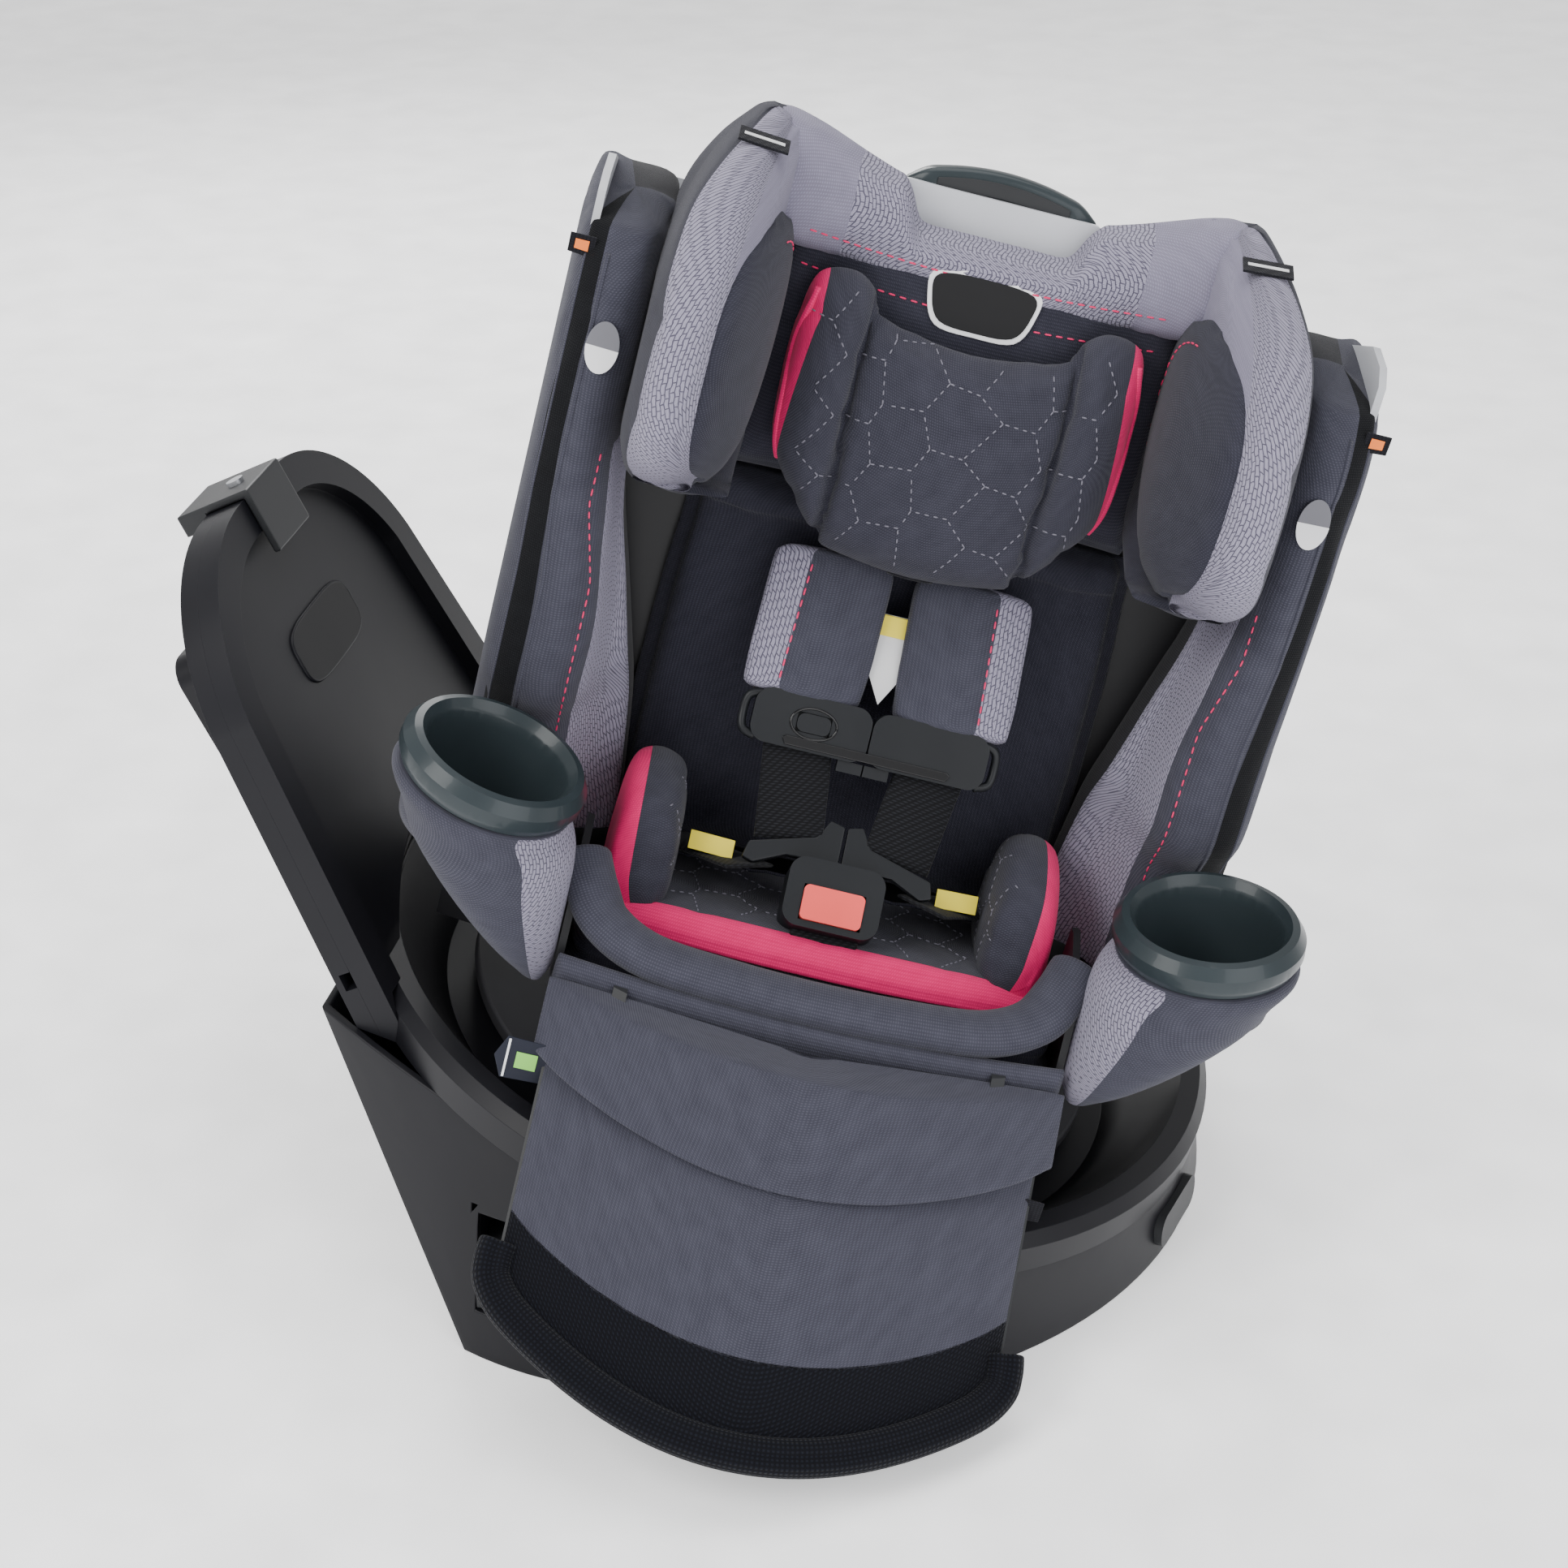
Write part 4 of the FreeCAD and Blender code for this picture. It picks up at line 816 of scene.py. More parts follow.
def leg_lip():
    """Raised lip round the bottom edge: a double padded roll, turned up at both ends."""
    path = [leg(-131, 0.86, 8), leg(-132, 0.92, 9), leg(-130, 0.972, 10)]
    path += [leg(x, 0.995, 11) for x in (-118, -90, -60, -30, 0, 30, 60, 90, 118)]
    path += [leg(130, 0.972, 10), leg(132, 0.92, 9), leg(131, 0.86, 8)]
    shape = []
    for i in range(28):
        a = 2 * math.pi * i / 28
        waist = 1 - 0.34 * math.exp(-math.cos(a) ** 2 / 0.06)
        shape.append((9.8 * math.cos(a), 8.6 * math.sin(a) * waist))
    obj = sweep("leg_lip_roll", SEAT, open_curve(path, 6), shape, WAFFLE, "leg_rest",
                side=Vector((0, -0.7, 0.7)))
    soften(obj, 2.5, 3, 60)
    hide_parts("leg_lip")
    return obj


def leg_flap():
    """Fold-over flap: a double layer with a rolled lower edge."""
    shape = {"top": 60.5, "low_mid": 21.0, "low_end": 34.0}
    thick = ((0.0, 2.6), (0.12, 4.5), (0.45, 5.6), (0.75, 6.2), (0.9, 8.0), (0.98, 7.0), (1.02, 3.5))
    rows = [leg_row(s, 10.2 - 1.0 * s, t, 136, **shape) for s, t in thick]
    obj = loft("leg_flap_cover", SEAT, rows, [CHARCOAL], "leg_rest", per=6, steps=4, dome=(2, 2))
    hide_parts("leg_flap")
    return obj


def leg_trim():
    for side, word in SIDES:
        root = leg(side * 128, 0.3 if side < 0 else 0.42, 2)
        tab = [root + Vector((side * a, 3, b)) for a, b in ((-6, 7), (9, 6), (9, -6), (-6, -7))]
        plate("side_tab_" + word, SEAT, tab, Vector((0, -1.2, 0)), BLACK, "leg_rest", 0.4)
        if side < 0:
            tag = [root + Vector((-a, -1, b)) for a, b in ((0, 12), (22, 13), (27, 0), (22, -13), (0, -12))]
            plate("side_tag", SEAT, tag, Vector((0, -1.0, 0)), NAVY, "leg_rest", 0.3)
            bar = [root + Vector((-a, -2.1, b)) for a, b in ((20, 12), (21.2, 12), (21.2, -12), (20, -12))]
            plate("side_tag_line", SEAT, bar, Vector((0, -0.3, 0)), WHITE, "leg_rest", 0.05)
            block = [root + Vector((-a, -2.1, b)) for a, b in ((5, 5), (16, 5), (16, -5), (5, -5))]
            plate("side_tag_block", SEAT, block, Vector((0, -0.3, 0)), GREEN, "leg_rest", 0.05)


# Headrest

HEAD_ROWS = (  # height, front depth, rear depth
    (236, -112, -96), (243, -134, -52), (256, -146, -22), (280, -152, -3), (318, -151, 1),
    (350, -139, 1), (378, -119, 1), (400, -92, 1), (414, -62, -1), (420.5, -40, -6))


def head_inner(y):
    """Inner face of the headrest wing: it flares outwards towards the front."""
    return 106 - 0.165 * min(y, 0)


def head_wing(side, word):
    """Deep padded wing: dark outside, mauve band over the front edge, lilac shoulder, dark inside; the dark knit
    carries painted shade.
    """
    rows = []
    for z, front, rear in HEAD_ROWS:
        depth = rear - front
        out = 163 - 32 * max(0, (z - 350) / 71) ** 2.4 - 10 * max(0, (262 - z) / 26) ** 2
        nose = head_inner(front) + 3
        wide = (out - nose)
        rows.append(pts(
            (out, rear - 2, z), (out + 1, rear - depth * 0.4, z), (out - 0.5, rear - depth * 0.8, z),
            (out - 3, front + 9, z), (out - wide * 0.36, front + 0.5, z), (out - wide * 0.72, front + 1, z),
            (nose - 1, front + 11, z), (head_inner(rear - depth * 0.7), rear - depth * 0.7, z),
            (head_inner(rear - depth * 0.36), rear - depth * 0.36, z), (min(104, out - 14), rear - 4, z),
            (min(128, out - 6), rear, z)))

    def paint(i, k):
        if k in (3, 4, 5):
            return 1
        if k in (6, 7, 8):
            return 2 if i >= 5 else 1 if k == 6 else 0
        return 0

    obj = loft("headrest_wing_cover_" + word, BACK, flipped(side, rows), [DARK_KNIT_AND_SHADE, MESH, LILAC],
               "headrest", paint, per=6, steps=5, dome=(5, 5))
    return soft_piece(obj, 0.8, 3.0, "headrest_wing_" + word)


def head_wing_pad(side, word):
    """Dark oval pad inside each wing."""
    rows = []
    for z, front, rear, thick in (
            (243, -108, -82, 3), (252, -124, -58, 8), (270, -134, -34, 12), (300, -137, -20, 14),
            (330, -133, -16, 14), (354, -118, -18, 12), (368, -98, -28, 8), (374, -82, -44, 3)):
        depth = rear - front
        ys = (rear, rear - depth * 0.33, rear - depth * 0.67, front)
        base = [(head_inner(y) + 6, y) for y in ys]
        lift = [(head_inner(y) - thick * f, y) for y, f in zip(ys[::-1], (0.3, 1, 1, 0.3))]
        rows.append(pts(*[(x, y, z) for x, y in base + lift]))
    obj = loft("headrest_side_pad_" + word, BACK, flipped(side, rows), [DARK_KNIT_AND_SHADE], "headrest",
               per=6, steps=5, dome=(4, 4))
    return soft_piece(obj, 0.7, 2.0)


def head_centre():
    """Centre pad, from the back cushion's top up to the band."""
    rows = []
    for x in (-112, -104, -80, -40, 0, 40, 80, 104, 112):
        f = 1.0 if abs(x) < 110 else 0.5
        y = -25 - 3 * (1 - (x / 112) ** 2)
        rows.append(pts((x, 0, 238), (x, y * 0.6, 239), (x, y * f, 250), (x, y * f, 300), (x, y * f, 352),
                        (x, y * f * 0.9, 372), (x, -3, 380), (x, 1.2, 372), (x, 1.4, 300)))
    # The centre pad uses the darker knit, with painted shade from the headrest's hollow.
    obj = loft("headrest_centre", BACK, rows, [DARK_KNIT_AND_SHADE], "headrest", per=6, steps=4, dome=(2, 2))
    return soft_piece(obj, 0.6, 2.0, "headrest_pad")


def band_top(x):
    """Top edge of the headrest's band: level at the sides, with a notch under the handle."""
    t = abs(x)
    if t < 38:
        return 381.0
    if t < 54:
        s = (t - 38) / 16
        return 381 + 21 * s * s * (3 - 2 * s)
    return 402 + 19 * min(1, (t - 54) / 56) ** 1.2


def head_band():
    """Lilac band across the top: plain corners, mesh between, with a notch in the middle."""
    rows = []
    for x in (-124, -116, -100, -78, -60, -54, -48, -42, -36, -20, 0, 20, 36, 42, 48, 54, 60, 78, 100, 116, 124):
        top = band_top(x)
        f = 1.0 if abs(x) < 120 else 0.7
        front = -30 - 16 * (abs(x) / 124) ** 3
        low = 352 + 10 * (abs(x) / 124) ** 2
        mid = (low + top) / 2
        rows.append(pts((x, 1.4, low + 4), (x, front * 0.6, low - 1), (x, front * f, low + 4), (x, front * f - 1, mid),
                        (x, front * 0.86 * f, top - 6), (x, front * 0.45, top), (x, -5, top), (x, 1.4, top - 6)))

    def paint(i, k):
        return 0 if 3 <= i <= 16 else 1

    obj = loft("headrest_band", BACK, rows, [MESH_ACROSS, LILAC], "headrest", paint, per=5, steps=4,
               dome=(3, 3))
    return soft_piece(obj, 0.6, 1.5)


def head_handle():
    """Arched release handle over the notch."""
    path = [Vector((x, 15, 405 - 9 * (x / 50) ** 2)) for x in range(-50, 51, 5)]
    shape = []
    for i in range(20):
        a = 2 * math.pi * i / 20
        shape.append((8.2 * math.copysign(abs(math.cos(a)) ** 0.6, math.cos(a)),
                      9.6 * math.copysign(abs(math.sin(a)) ** 0.6, math.sin(a))))
    rows = []
    for k, p in enumerate(path):
        slim = 1.0 if 1 < k < 19 else (0.86 if 0 < k < 20 else 0.6)
        rows.append([Vector((p.x, p.y + a * slim, p.z + b * slim * 0.9)) for a, b in shape[::2]])
    obj = loft("release_handle", BACK, rows, [RUBBER], "headrest_handle", per=3, steps=2, dome=(3, 3))
    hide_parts("headrest_handle")
    inset = [Vector((x, 5.8, 404.5 - 9 * (x / 50) ** 2 + s)) for x, s in
             [(v, 4) for v in range(-36, 37, 6)] + [(v, -4) for v in range(36, -37, -6)]]
    plate("handle_inset", BACK, inset, Vector((0, 1.5, 0)), TRIM, "headrest_handle", 0.5)
    return obj


def head_trim(wings, pads, centre, band):
    low = [Vector((x, 0, 357 + 10 * (abs(x) / 124) ** 2 - 8)) for x in range(-96, 97, 6)]
    stitches("centre_stitch_low", centre, BACK, [[p - Vector((0, 0, 6)) for p in low]], BACKWARDS,
             THREAD_PINK, "headrest", depth=0.6)
    stitches("band_stitch", band, BACK, [[p + Vector((0, 0, 13)) for p in low]], BACKWARDS,
             THREAD_PINK, "headrest", depth=0.6)
    for side, word in SIDES:
        seam = [Vector((side * 76, 0, z)) for z in range(356, 408, 3)]
        spots = drop(band, BACK, seam, BACKWARDS)
        groove(band, spots, 1.4, 4.0)
        ring = []
        for step in range(40):
            a = 2 * math.pi * step / 40
            ring.append(Vector((0, -76 + 49 * math.cos(a) + 6 * math.sin(a), 309 + 55 * math.sin(a))))
        inward = Vector((side, 0, 0))
        stitches("side_pad_stitch_" + word, pads[word], BACK, [ring + ring[:1]], inward,
                 THREAD_PINK, "headrest", depth=0.8)
        edge = [Vector((0, y, z)) for z, y in
                ((352, -128), (364, -116), (376, -100), (384, -84), (388, -66), (386, -46), (380, -34))]
        curve = open_curve(edge, 6)
        stitches("wing_band_stitch_" + word, wings[word], BACK, [curve], inward, THREAD_PINK, "headrest", depth=0.6)


def badge():
    """Blank badge: white border plate with a black inset."""
    def outline(half, high, low, y):
        base = pts((-half, y, 0), (-half * 0.94, y, high), (0, y, high + 2.5), (half * 0.94, y, high),
                   (half, y, 0), (half * 0.74, y, -low), (0, y, -low - 2), (-half * 0.74, y, -low))
        return [p + Vector((0, 0, 350)) for p in closed_curve(base, 5)]
    plate("badge_border", BACK, outline(29, 14, 15, -29.5), Vector((0, -2.0, 0)), WHITE, "headrest",
          0.5)
    black = plate("badge_face", BACK, outline(26.5, 11.5, 12.5, -30.6), Vector((0, -1.7, 0)), JET, "headrest",
                  0.5)
    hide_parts("head_badge")


# Pillow

def pillow():
    """Head pillow in three puffy panels with magenta outer edges."""
    rows = []
    for x, low, high, thick in (
            (-95, 290, 322, 8), (-92, 262, 344, 20), (-85, 246, 353, 27), (-71, 229, 356, 31), (-60, 214, 351, 27),
            (-54, 209, 343, 20), (-46, 205, 338, 25), (0, 201, 331, 30), (46, 205, 338, 25), (54, 209, 343, 20),
            (60, 214, 351, 27), (71, 229, 356, 31), (85, 246, 353, 27), (92, 262, 344, 20), (95, 290, 322, 8)):
        y = -32.5
        span = high - low
        rows.append(pts(
            (x, y, low + span * 0.1), (x, y - thick * 0.35, low + 1), (x, y - thick * 0.82, low + span * 0.1),
            (x, y - thick, low + span * 0.32), (x, y - thick, low + span * 0.66),
            (x, y - thick * 0.82, high - span * 0.1),
            (x, y - thick * 0.35, high - 1), (x, y, high - span * 0.1), (x, y + 1, (low + high) / 2)))

    def paint(i, k):
        return 1 if i in (0, 1, 12, 13) else 0

    obj = loft("head_pillow", BACK, rows, [QUILT, PINK], "headrest", paint, per=6, steps=5,
               dome=(2, 2))
    return soft_piece(obj, 0.85, 4.0, "pillow")


def hexagons(cell, x0, x1, z0, z1):
    """Edges of an uneven hexagon pattern, as short polylines in local x and z."""
    def jog(i, j, seed):
        return math.sin(i * 12.9898 + j * 78.233 + seed * 37.7) * cell * 0.16

    lines = []
    high = cell * math.sqrt(3) / 2
    for i in range(int((x1 - x0) / cell / 1.5) + 2):
        for j in range(int((z1 - z0) / high) + 2):
            cx = x0 + i * cell * 1.5
            cz = z0 + j * high * 2 * 0.5 * 2 + (high if i % 2 else 0)
            if cz > z1 + high:
                continue
            corner = []
            for k in range(4):
                a = math.radians(60 * k)
                px, pz = cx + cell * math.cos(a), cz + cell * math.sin(a)
                key = (round(px / cell * 2), round(pz / high))
                corner.append(Vector((px + jog(*key, 1), 0, pz + jog(*key, 2))))
            lines += [[corner[0], corner[1]], [corner[1], corner[2]], [corner[2], corner[3]]]
    kept = []
    for a, b in lines:
        middle = (a + b) / 2
        if x0 <= middle.x <= x1 and z0 <= middle.z <= z1:
            kept.append([a, b])
    return kept


def pillow_trim(cover):
    for side, word in SIDES:
        seam = [Vector((side * 54, 0, z)) for z in range(206, 350, 3)]
        groove(cover, drop(cover, BACK, seam, BACKWARDS), 3.6, 6.0)
        edge = open_curve(pts(*[(side * x, 0, z) for x, z in
                                ((60, 213), (74, 233), (87, 258), (90, 290), (90, 318), (85, 343))]), 6)
        piping("pillow_piping_" + word, cover, BACK, edge, BACKWARDS, 2.2, PINK, "headrest")
    stitches("pillow_quilting", cover, BACK, hexagons(19, -84, 84, 214, 338), BACKWARDS, THREAD_GREY,
             "headrest", dash=2.4, pitch=4.8, r=0.42, depth=1.5, width=7.0)
    hem = [Vector((x, 0, 204.5 + 0.0016 * x * x)) for x in range(-54, 55, 4)]
    piping("pillow_hem", cover, BACK, hem, BACKWARDS, 1.7, BLACK, "headrest")


# Harness

def shoulder_pads():
    """Soft sleeves over the webbing, mesh on the outer side."""
    made = {}
    for side, word in SIDES:
        rows = []
        top, low = Vector((0, -25, 200)), Vector((0, -57, 131))
        down = (low - top).normalized()
        out = Vector((0, down.z, -down.y))
        for s, wide in ((0, 0.9), (0.06, 0.98), (0.35, 1), (0.7, 1), (0.95, 1), (1, 0.94)):
            mid = top.lerp(low, s)
            x0, x1 = 6 + 4 * s, 71 + 1 * s
            centre, half = (x0 + x1) / 2, (x1 - x0) / 2 * wide
            row = []
            for a, b in ((-1, 0), (-0.93, 5), (-0.5, 7), (0, 7.6), (0.42, 7.2), (0.5, 6.9), (0.93, 4.6), (1, 0),
                         (0.93, -5), (0, -6), (-0.93, -5)):
                row.append(Vector((centre + half * a, 0, 0)) + mid + out * b * (1 if out.y < 0 else -1))
            rows.append(row)

        def paint(i, k):
            return 1 if k in (4, 5, 6, 7) else 0

        obj = loft("shoulder_pad_cover_" + word, BACK, flipped(side, rows), [CHARCOAL, MESH], "seat",
                   paint, per=6, steps=5, dome=(3, 3))
        made[word] = soft_piece(obj, 0.6, 2.0, "shoulder_pad_" + word)
    return made


def shoulder_trim(pads):
    for side, word in SIDES:
        line = [Vector((side * (51 + t * 0.3), 0, 196 - t * 5)) for t in range(13)]
        stitches("shoulder_stitch_" + word, pads[word], BACK, [line], BACKWARDS, THREAD_PINK, "seat", depth=0.7)


def strap(name, where, points, half, thick, body, side):
    path = open_curve(points, 6)
    return sweep(name, where, path, flat_oval(half, thick), WEBBING, body, side=side)


def harness():
    """Chest, lap and crotch straps with the tongues' loops."""
    first = None
    for side, word in SIDES:
        line = pts((41 * side, 1.0, 6), (38 * side, -1.2, -18), (33.5 * side, -0.8, -48), (29.5 * side, 0, -80))
        obj = strap("chest_strap_" + word, STRAP, line, 18.5, 1.7, "seat", Vector((0, 1, 0)))
        first = first or obj
        lap = pts((47 * side, -80, 103), (58 * side, -62, 94), (72 * side, -42, 84), (92 * side, -20, 74))
        strap("lap_strap_" + word, SEAT, lap, 15, 1.7, "seat", Vector((0.2 * side, 0.45, 1)))
        tag = [Vector((side * x, y, z)) for x, y, z in
               ((56, -66, 96), (80, -58, 92), (80, -50, 99), (56, -58, 103))]
        plate("strap_tag_" + word, SEAT, tag, Vector((0, -0.9, 0.4)), YELLOW, "seat", 0.3)
        strap("shoulder_strap_" + word, BACK, pts((41 * side, -14, 190.5), (41 * side, 8, 190), (41 * side, 20, 190)),
              18.5, 1.7, "seat", Vector((0, 0, 1)))
    crotch = pts((0, 0.9, -20), (0, 0.3, -10), (0, 0, 3))
    strap("crotch_strap", BUCKLE, crotch, 18.5, 2.0, "seat", Vector((0, 1, 0)))
    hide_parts("harness_webbing")
    tag = pts((-8, -30, 178), (9, -30, 178), (9, -46, 148), (0.5, -52, 134), (-8, -46, 148))
    plate("care_label", BACK, tag, Vector((0, -0.8, 0)), LABEL, "seat", 0.2)
    top = pts((-8, -31, 178), (9, -31, 178), (9, -36, 168), (-8, -36, 168))
    plate("care_label_top", BACK, top, Vector((0, -1.0, -0.2)), YELLOW, "seat", 0.2)


def clip_details():
    """Side loops and glossy foot bar of the chest clip, with a recess round its button."""
    for side, word in SIDES:
        path = open_curve(pts((60 * side, -4, -6), (67.5 * side, -3, -9), (69 * side, -2, -18),
                              (67.5 * side, -3, -27), (60 * side, -4, -30)), 5)
        sweep("clip_loop_" + word, STRAP, path, circle(2.4, 12), CLIP, "chest_clip",
              side=Vector((0, 1, 0)))
    bar = [Vector((x, -8.2, z)) for x, z in ((-44, -30.5), (44, -30.5), (46, -27), (44, -25.5), (-44, -25.5),
        (-46, -27))]
    plate("clip_gloss_bar", STRAP, bar, Vector((0, -0.9, 0)), GLOSS, "chest_clip", 0.5)
    ring = [Vector((-31 + 12.5 * math.cos(a), -8.1, -17 + 8.2 * math.sin(a))) for a in
            (2 * math.pi * i / 36 for i in range(37))]
    sweep("clip_button_ring", STRAP, ring, circle(0.7, 8), GLOSS, "chest_clip",
          side=Vector((0, 1, 0)))


# Infant insert

def insert():
    """Quilted base with a magenta front edge, and a tall bolster at each side."""
    rows = []
    for x in (-120, -114, -90, -50, 0, 50, 90, 114, 120):
        f = 1 - 0.25 * (abs(x) / 120) ** 3
        y0 = -118 + 10 * (abs(x) / 120) ** 2
        rows.append(pts((x, y0 + 3, 0), (x, y0 - 3, 7 * f), (x, y0 + 1, 14 * f), (x, y0 + 9, 18 * f), (x, -70, 17 * f),
                        (x, -30, 16 * f), (x, -12, 10), (x, -12, 2), (x, -60, 0.5)))

    base = loft("insert_base", PAN, rows, [QUILT, PINK], "seat",
                lambda i, k: 1 if k in (0, 1, 2) else 0, per=6, steps=5, dome=(2, 2))
    soft_piece(base, 0.6, 1.0, "infant_insert")
    made = {"base": base}
    for side, word in SIDES:
        rows = []
        for y, z_top, wide in ((-104, 30, 11), (-100, 52, 15), (-92, 66, 17), (-70, 76, 18), (-44, 79, 18),
                               (-20, 70, 16), (-9, 52, 12)):
            x = 104
            rows.append(pts((x - wide, y, 14), (x - wide - 1, y, (14 + z_top) / 2), (x - wide + 3, y, z_top - 8),
                            (x - wide * 0.35, y, z_top), (x + wide * 0.35, y, z_top), (x + wide - 3, y, z_top - 8),
                            (x + wide, y, (14 + z_top) / 2), (x + wide - 1, y, 8), (x, y, 6)))

        def paint(i, k):
            return 1 if k in (4, 5, 6, 7) else 0

        obj = loft("insert_bolster_" + word, PAN, flipped(side, rows), [QUILT, PINK], "seat",
                   paint, per=6, steps=5, dome=(6, 4))
        made[word] = soft_piece(obj, 0.8, 3.0)
    return made


def insert_trim(made):
    for side, word in SIDES:
        lines = []
        for edge in hexagons(17, -96, -14, 20, 74):
            lines.append([Vector((0, p.x, p.z)) for p in edge])
        stitches("bolster_quilting_" + word, made[word], PAN, lines, Vector((side, 0, 0)), THREAD_GREY, "seat",
                 dash=2.2, pitch=4.6, r=0.42, depth=1.2, width=6)
    flat = []
    for edge in hexagons(19, -84, 84, -100, -16):
        flat.append([Vector((p.x, p.z, 0)) for p in edge])
    stitches("insert_quilting", made["base"], PAN, flat, Vector((0, 0, -1)), THREAD_GREY, "seat",
             dash=2.2, pitch=4.6, r=0.42, depth=1.2, width=6)
    line = open_curve(pts(*[(x, 0, 15.5 - 2 * (abs(x) / 112) ** 2) for x in (-112, -80, -40, 0, 40, 80, 112)]), 6)
    piping("insert_piping", made["base"], PAN, line, BACKWARDS, 1.2, QUILT, "seat")


# Small marks, all blank

def tag_and_stickers(covers, wings):
    for side, word in SIDES:
        spots = drop(covers[word], SEAT, [Vector((side * (SHELL_SIDE - 20), 0, 352))], BACKWARDS, 0.5)
        if spots[0]:
            centre, normal = spots[0]
            up = (SEAT.to_3x3() @ Vector((0, 0, 1)))
            across = up.cross(normal).normalized()
            up = normal.cross(across).normalized()
            disc = [(centre + across * 8.5 * MM * math.cos(a) + up * 13.5 * MM * math.sin(a)) / MM
                    for a in (2 * math.pi * i / 32 for i in range(32))]
            plate("round_sticker_" + word, Matrix.Identity(4), disc, normal * 0.6, SLATE, "seat", 0.15)
            band = [(centre + across * 8.5 * MM * math.cos(a) + up * 13.5 * MM * math.sin(a) + normal * 0.3 * MM) / MM
                    for a in (math.pi + math.pi * i / 16 for i in range(17))]
            plate("sticker_band_" + word, Matrix.Identity(4), band, normal * 0.5, WHITE, "seat", 0.1)
        spots = drop(wings[word], BACK, [Vector((side * 130, -71, 409))], Vector((0, 0.42, -0.906)), 0.2)
        if spots[0]:
            centre, normal = spots[0]
            across = (BACK.to_3x3() @ Vector((1, 0, 0)))
            up = normal.cross(across).normalized()
            across = up.cross(normal).normalized()

            def patch(half, low, high, out):
                return [(centre + (across * a + up * b + normal * out) * MM) / MM
                        for a, b in ((-half, low), (half, low), (half, high), (-half, high))]
            plate("headrest_tag_" + word, Matrix.Identity(4), patch(13, -6.5, 6.5, 0), normal * 1.4, BLACK,
                  "headrest", 0.3)
            plate("headrest_tag_line_" + word, Matrix.Identity(4), patch(10.5, -1.2, 1.2, 1.45), normal * 0.3, LABEL,
                  "headrest", 0.05)
        root = Vector((side * (SHELL_SIDE - 5), wing_line(400) + 1, 392))
        loop = [root + Vector((side * a, 0, b)) for a, b in ((0, -4), (13, -3), (13, 7), (0, 7))]
        plate("wing_tag_" + word, SEAT, loop, Vector((0, -1.0, 0)), BLACK, "seat", 0.3)
        mark = [root + Vector((side * a, -1.2, b)) for a, b in ((3, -1), (10, -0.5), (10, 4.5), (3, 4.5))]
        plate("wing_tag_mark_" + word, SEAT, mark, Vector((0, -0.3, 0)), ORANGE, "seat", 0.05)


def wall_details():
    """Recessed blank badge on the wall, with a raised ring."""
    outline = []
    for i in range(48):
        a = 2 * math.pi * i / 48
        y = 43 * math.copysign(abs(math.cos(a)) ** 0.5, math.cos(a))
        z = 17 * math.copysign(abs(math.sin(a)) ** 0.5, math.sin(a))
        outline.append(Vector((-8.9, y, 156 + z)))
    plate("wall_badge", WALL, outline, Vector((1.2, 0, 0)), JET, "base", 0.4)
    sweep("wall_badge_ring", WALL, outline + outline[:2], circle(1.3, 8), WALL_BLACK, "base",
          side=Vector((1, 0, 0)))


def shell_rear():
    """Back of the shell: framed panel, ribs and two belt guides."""
    def slab(name, x0, x1, z0, z1, out, mat, radius=9.0):
        ring = []
        for cx, cz, turn in ((x1 - radius, z1 - radius, 0), (x0 + radius, z1 - radius, 90),
                             (x0 + radius, z0 + radius, 180), (x1 - radius, z0 + radius, 270)):
            for step in range(7):
                a = math.radians(turn + 15 * step)
                ring.append(Vector((cx + radius * math.cos(a), 61.2, cz + radius * math.sin(a))))
        plate(name, BACK, ring, Vector((0, 0.8 + out, 0)), mat, "seat", min(1.2, out * 0.6))

    slab("rear_panel", -118, 118, 84, 268, 2.0, TRIM, 16)
    for k in range(5):
        x = (k - 2) * 44
        slab("rear_rib_%d" % k, x - 5, x + 5, 98, 254, 4.6, INNER, 4.9)
    for side, word in SIDES:
        slab("rear_guide_" + word, side * 152 - 13, side * 152 + 13, 196, 262, 4.0, TRIM, 6)
        slab("rear_guide_slot_" + word, side * 152 - 7, side * 152 + 7, 204, 254, 4.6, JET, 4)


# CAD nodes that stay, with their finishes

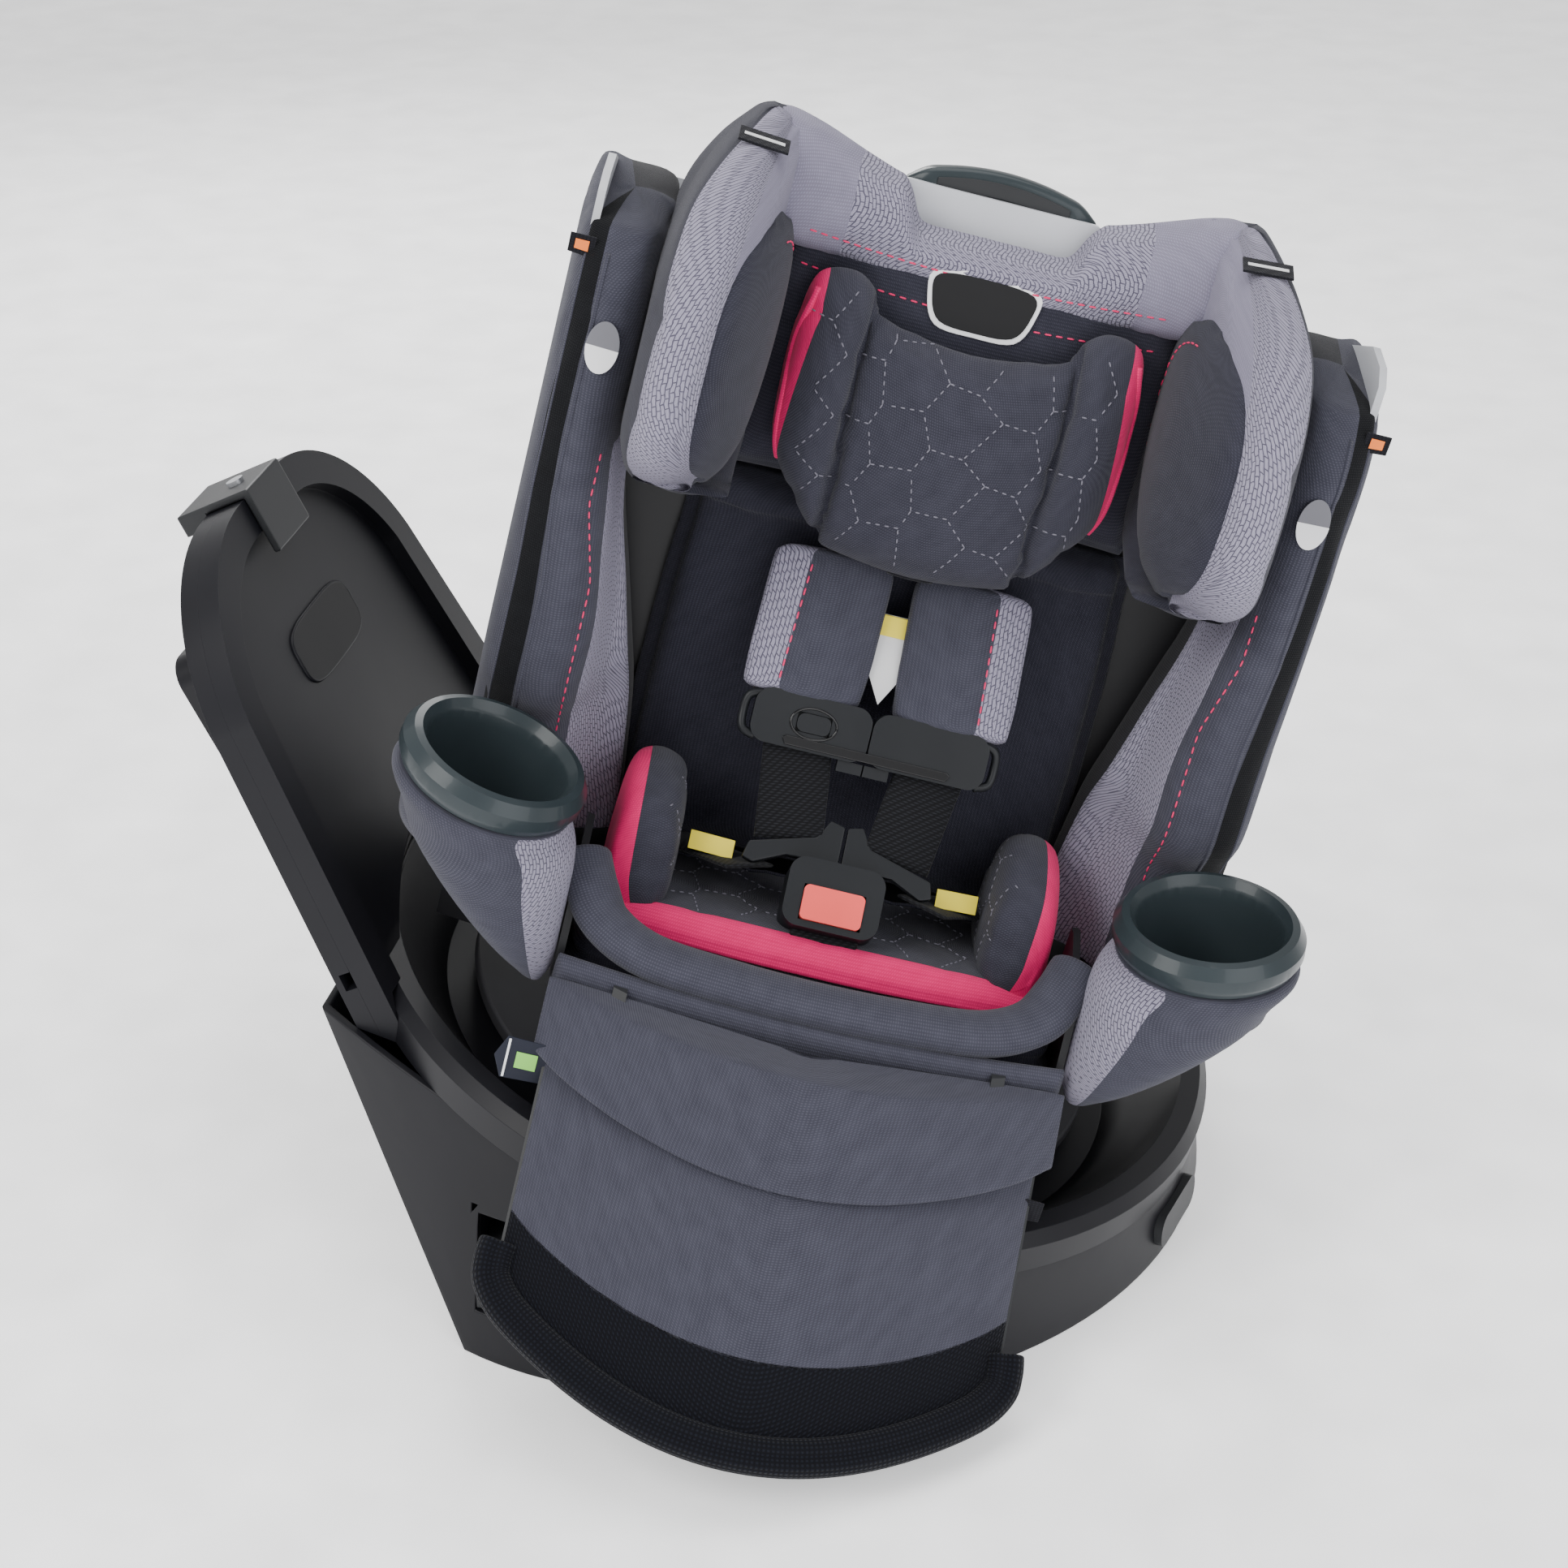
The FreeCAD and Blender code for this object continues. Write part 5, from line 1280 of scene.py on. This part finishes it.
FINISH = {
    "base_skirt": (BASE_BLACK, 3.0), "base_tunnel": (BASE_BLACK, 0.8), "base_plate": (BASE_BLACK, 0.8),
    "bowl": (BASE_BLACK, 3.0), "wall_front": (WALL_BLACK, 3.5), "wall_rear": (WALL_BLACK, 3.5),
    "tether_bracket": (TRIM, 1.6), "bracket_screw": (STEEL, 0.5), "end_badge": (TRIM, 1.2),
    "hub_post": (STEEL, 0.6), "hub_nut": (STEEL, 0.8), "ball_race": (STEEL, 0.5), "bearing_balls": (STEEL, 0),
    "ball_cage": (INNER, 0), "turntable": (INNER, 1.0), "recline_cradle": (INNER, 1.5), "cradle_bolts": (STEEL, 0.8),
    "swivel_lever": (TRIM, 1.5), "seat_shell": (GREY, 1.2), "guide_rails": (STEEL, 0.6), "front_trim": (TRIM, 0.8),
    "leg_board": (TRIM, 0.8), "headrest_shell": (GREY, 1.5), "clip_left": (CLIP, 1.6), "clip_right": (CLIP, 1.6),
    "clip_button": (CLIP, 0.8), "buckle": (CLIP, 2.4), "buckle_button": (RED, 1.2), "tongue_left": (CLIP, 0.9),
    "tongue_right": (CLIP, 0.9), "cup_liner_left": (RUBBER, 2.6), "cup_liner_right": (RUBBER, 2.6),
    "adjuster": (TRIM, 1.0), "adjuster_button": (TRIM, 0.6), "recline_lever": (TRIM, 1.5),
    "anchor_adjuster": (TRIM, 0.8), "rubber_pads": (TRIM, 0.4), "anchor_webbing": (WEBBING, 0.3),
}


def finish_nodes():
    for name, (mat, bevel) in FINISH.items():
        obj = nodes[name]
        obj.data.materials.clear()
        obj.data.materials.append(mat)
        if bevel:
            soften(obj, bevel)


def shell_material():
    """Pale grey at the shoulders, dark below, as the shell is painted."""
    mat, bsdf = new_material("shell_two_tone", (0.02, 0.02, 0.023), 0.4)
    coords = node(mat, "ShaderNodeTexCoord").outputs["Object"]
    axis = Vector(joints["headrest_height"]["axis"]).normalized()
    origin = BACK.translation
    dot = node(mat, "ShaderNodeVectorMath", operation="DOT_PRODUCT")
    wire(mat, coords, dot.inputs[0])
    dot.inputs[1].default_value = axis
    height = join(mat, "SUBTRACT", dot.outputs["Value"], origin.dot(axis))
    above = join(mat, "GREATER_THAN", height, 0.318)
    wire(mat, blend_colours(mat, above, (0.016, 0.016, 0.018), (0.50, 0.51, 0.54)), bsdf.inputs["Base Color"])
    finish_bump(mat, bsdf, cloth_noise(mat, coords, 1400), 0.2, 0.12)
    nodes["seat_shell"].data.materials.clear()
    nodes["seat_shell"].data.materials.append(mat)


# Camera, lights and floor

def aim(obj, target):
    obj.rotation_mode = "QUATERNION"
    obj.rotation_quaternion = (target - obj.location).to_track_quat("-Z", "Y")


def studio():
    scene = bpy.context.scene
    camera = bpy.data.objects.new("camera", bpy.data.cameras.new("camera"))
    scene.collection.objects.link(camera)
    camera.data.lens = 67.1
    camera.data.sensor_width = 36
    camera.location = (0.260, -1.400, 0.995)
    aim(camera, camera.location + Vector((-0.165, 0.865, -0.474)))
    scene.camera = camera
    for name, place_at, size, power, colour in (
            ("key", (-1.2, -1.5, 2.0), 1.3, 42, (1, 0.99, 0.97)), ("fill", (1.7, -1.3, 1.2), 1.6, 24, (0.97, 0.98, 1)),
            ("top", (0.1, 0.2, 2.3), 1.6, 24, (1, 1, 1)), ("rim", (-0.9, 1.7, 1.3), 1.2, 26, (1, 1, 1)),
            ("low", (0.4, -1.6, 0.25), 0.9, 6, (1, 1, 1))):
        light = bpy.data.objects.new(name, bpy.data.lights.new(name, "AREA"))
        light.data.size = size
        light.data.energy = power
        light.data.color = colour
        light.location = place_at
        scene.collection.objects.link(light)
        aim(light, Vector((0, 0, 0.3)))
    world = bpy.data.worlds.new("studio")
    world.use_nodes = True
    world.node_tree.nodes["Background"].inputs["Color"].default_value = (1, 1, 1, 1)
    world.node_tree.nodes["Background"].inputs["Strength"].default_value = 0.75
    scene.world = world
    mesh = bpy.data.meshes.new("floor")
    reach = 6.0
    mesh.from_pydata([(-reach, -reach, 0), (reach, -reach, 0), (reach, reach, 0), (-reach, reach, 0)], [],
                     [(0, 1, 2, 3)])
    floor = bpy.data.objects.new("floor", mesh)
    scene.collection.objects.link(floor)
    pale = moulded("pale_floor", (0.90, 0.90, 0.91), 0.8, 0.0)
    glow = pale.node_tree.nodes["Principled BSDF"]
    glow.inputs["Emission Color"].default_value = (1, 1, 1, 1)
    glow.inputs["Emission Strength"].default_value = 0.5
    mesh.materials.append(pale)


studio()
finish_nodes()
shell_material()
back_cushion()
seat_cushion()
wing_covers = {word: side_wing(side, word) for side, word in SIDES}
pods = {word: cup_pod(side, word) for side, word in SIDES}
head_wings = {word: head_wing(side, word) for side, word in SIDES}
head_pads = {word: head_wing_pad(side, word) for side, word in SIDES}
centre_pad = head_centre()
top_band = head_band()
pillow_cover = pillow()
sleeves = shoulder_pads()
insert_pieces = insert()
puff_all()

front_roll()
fascia()
leg_panel()
leg_lip()
leg_flap()
leg_trim()
for side, word in SIDES:
    side_wing_trim(side, word, wing_covers[word])
    pod_trim(side, word, pods[word])
head_trim(head_wings, head_pads, centre_pad, top_band)
badge()
pillow_trim(pillow_cover)
shoulder_trim(sleeves)
insert_trim(insert_pieces)
head_handle()
harness()
clip_details()
tag_and_stickers(wing_covers, head_wings)
wall_details()
shell_rear()
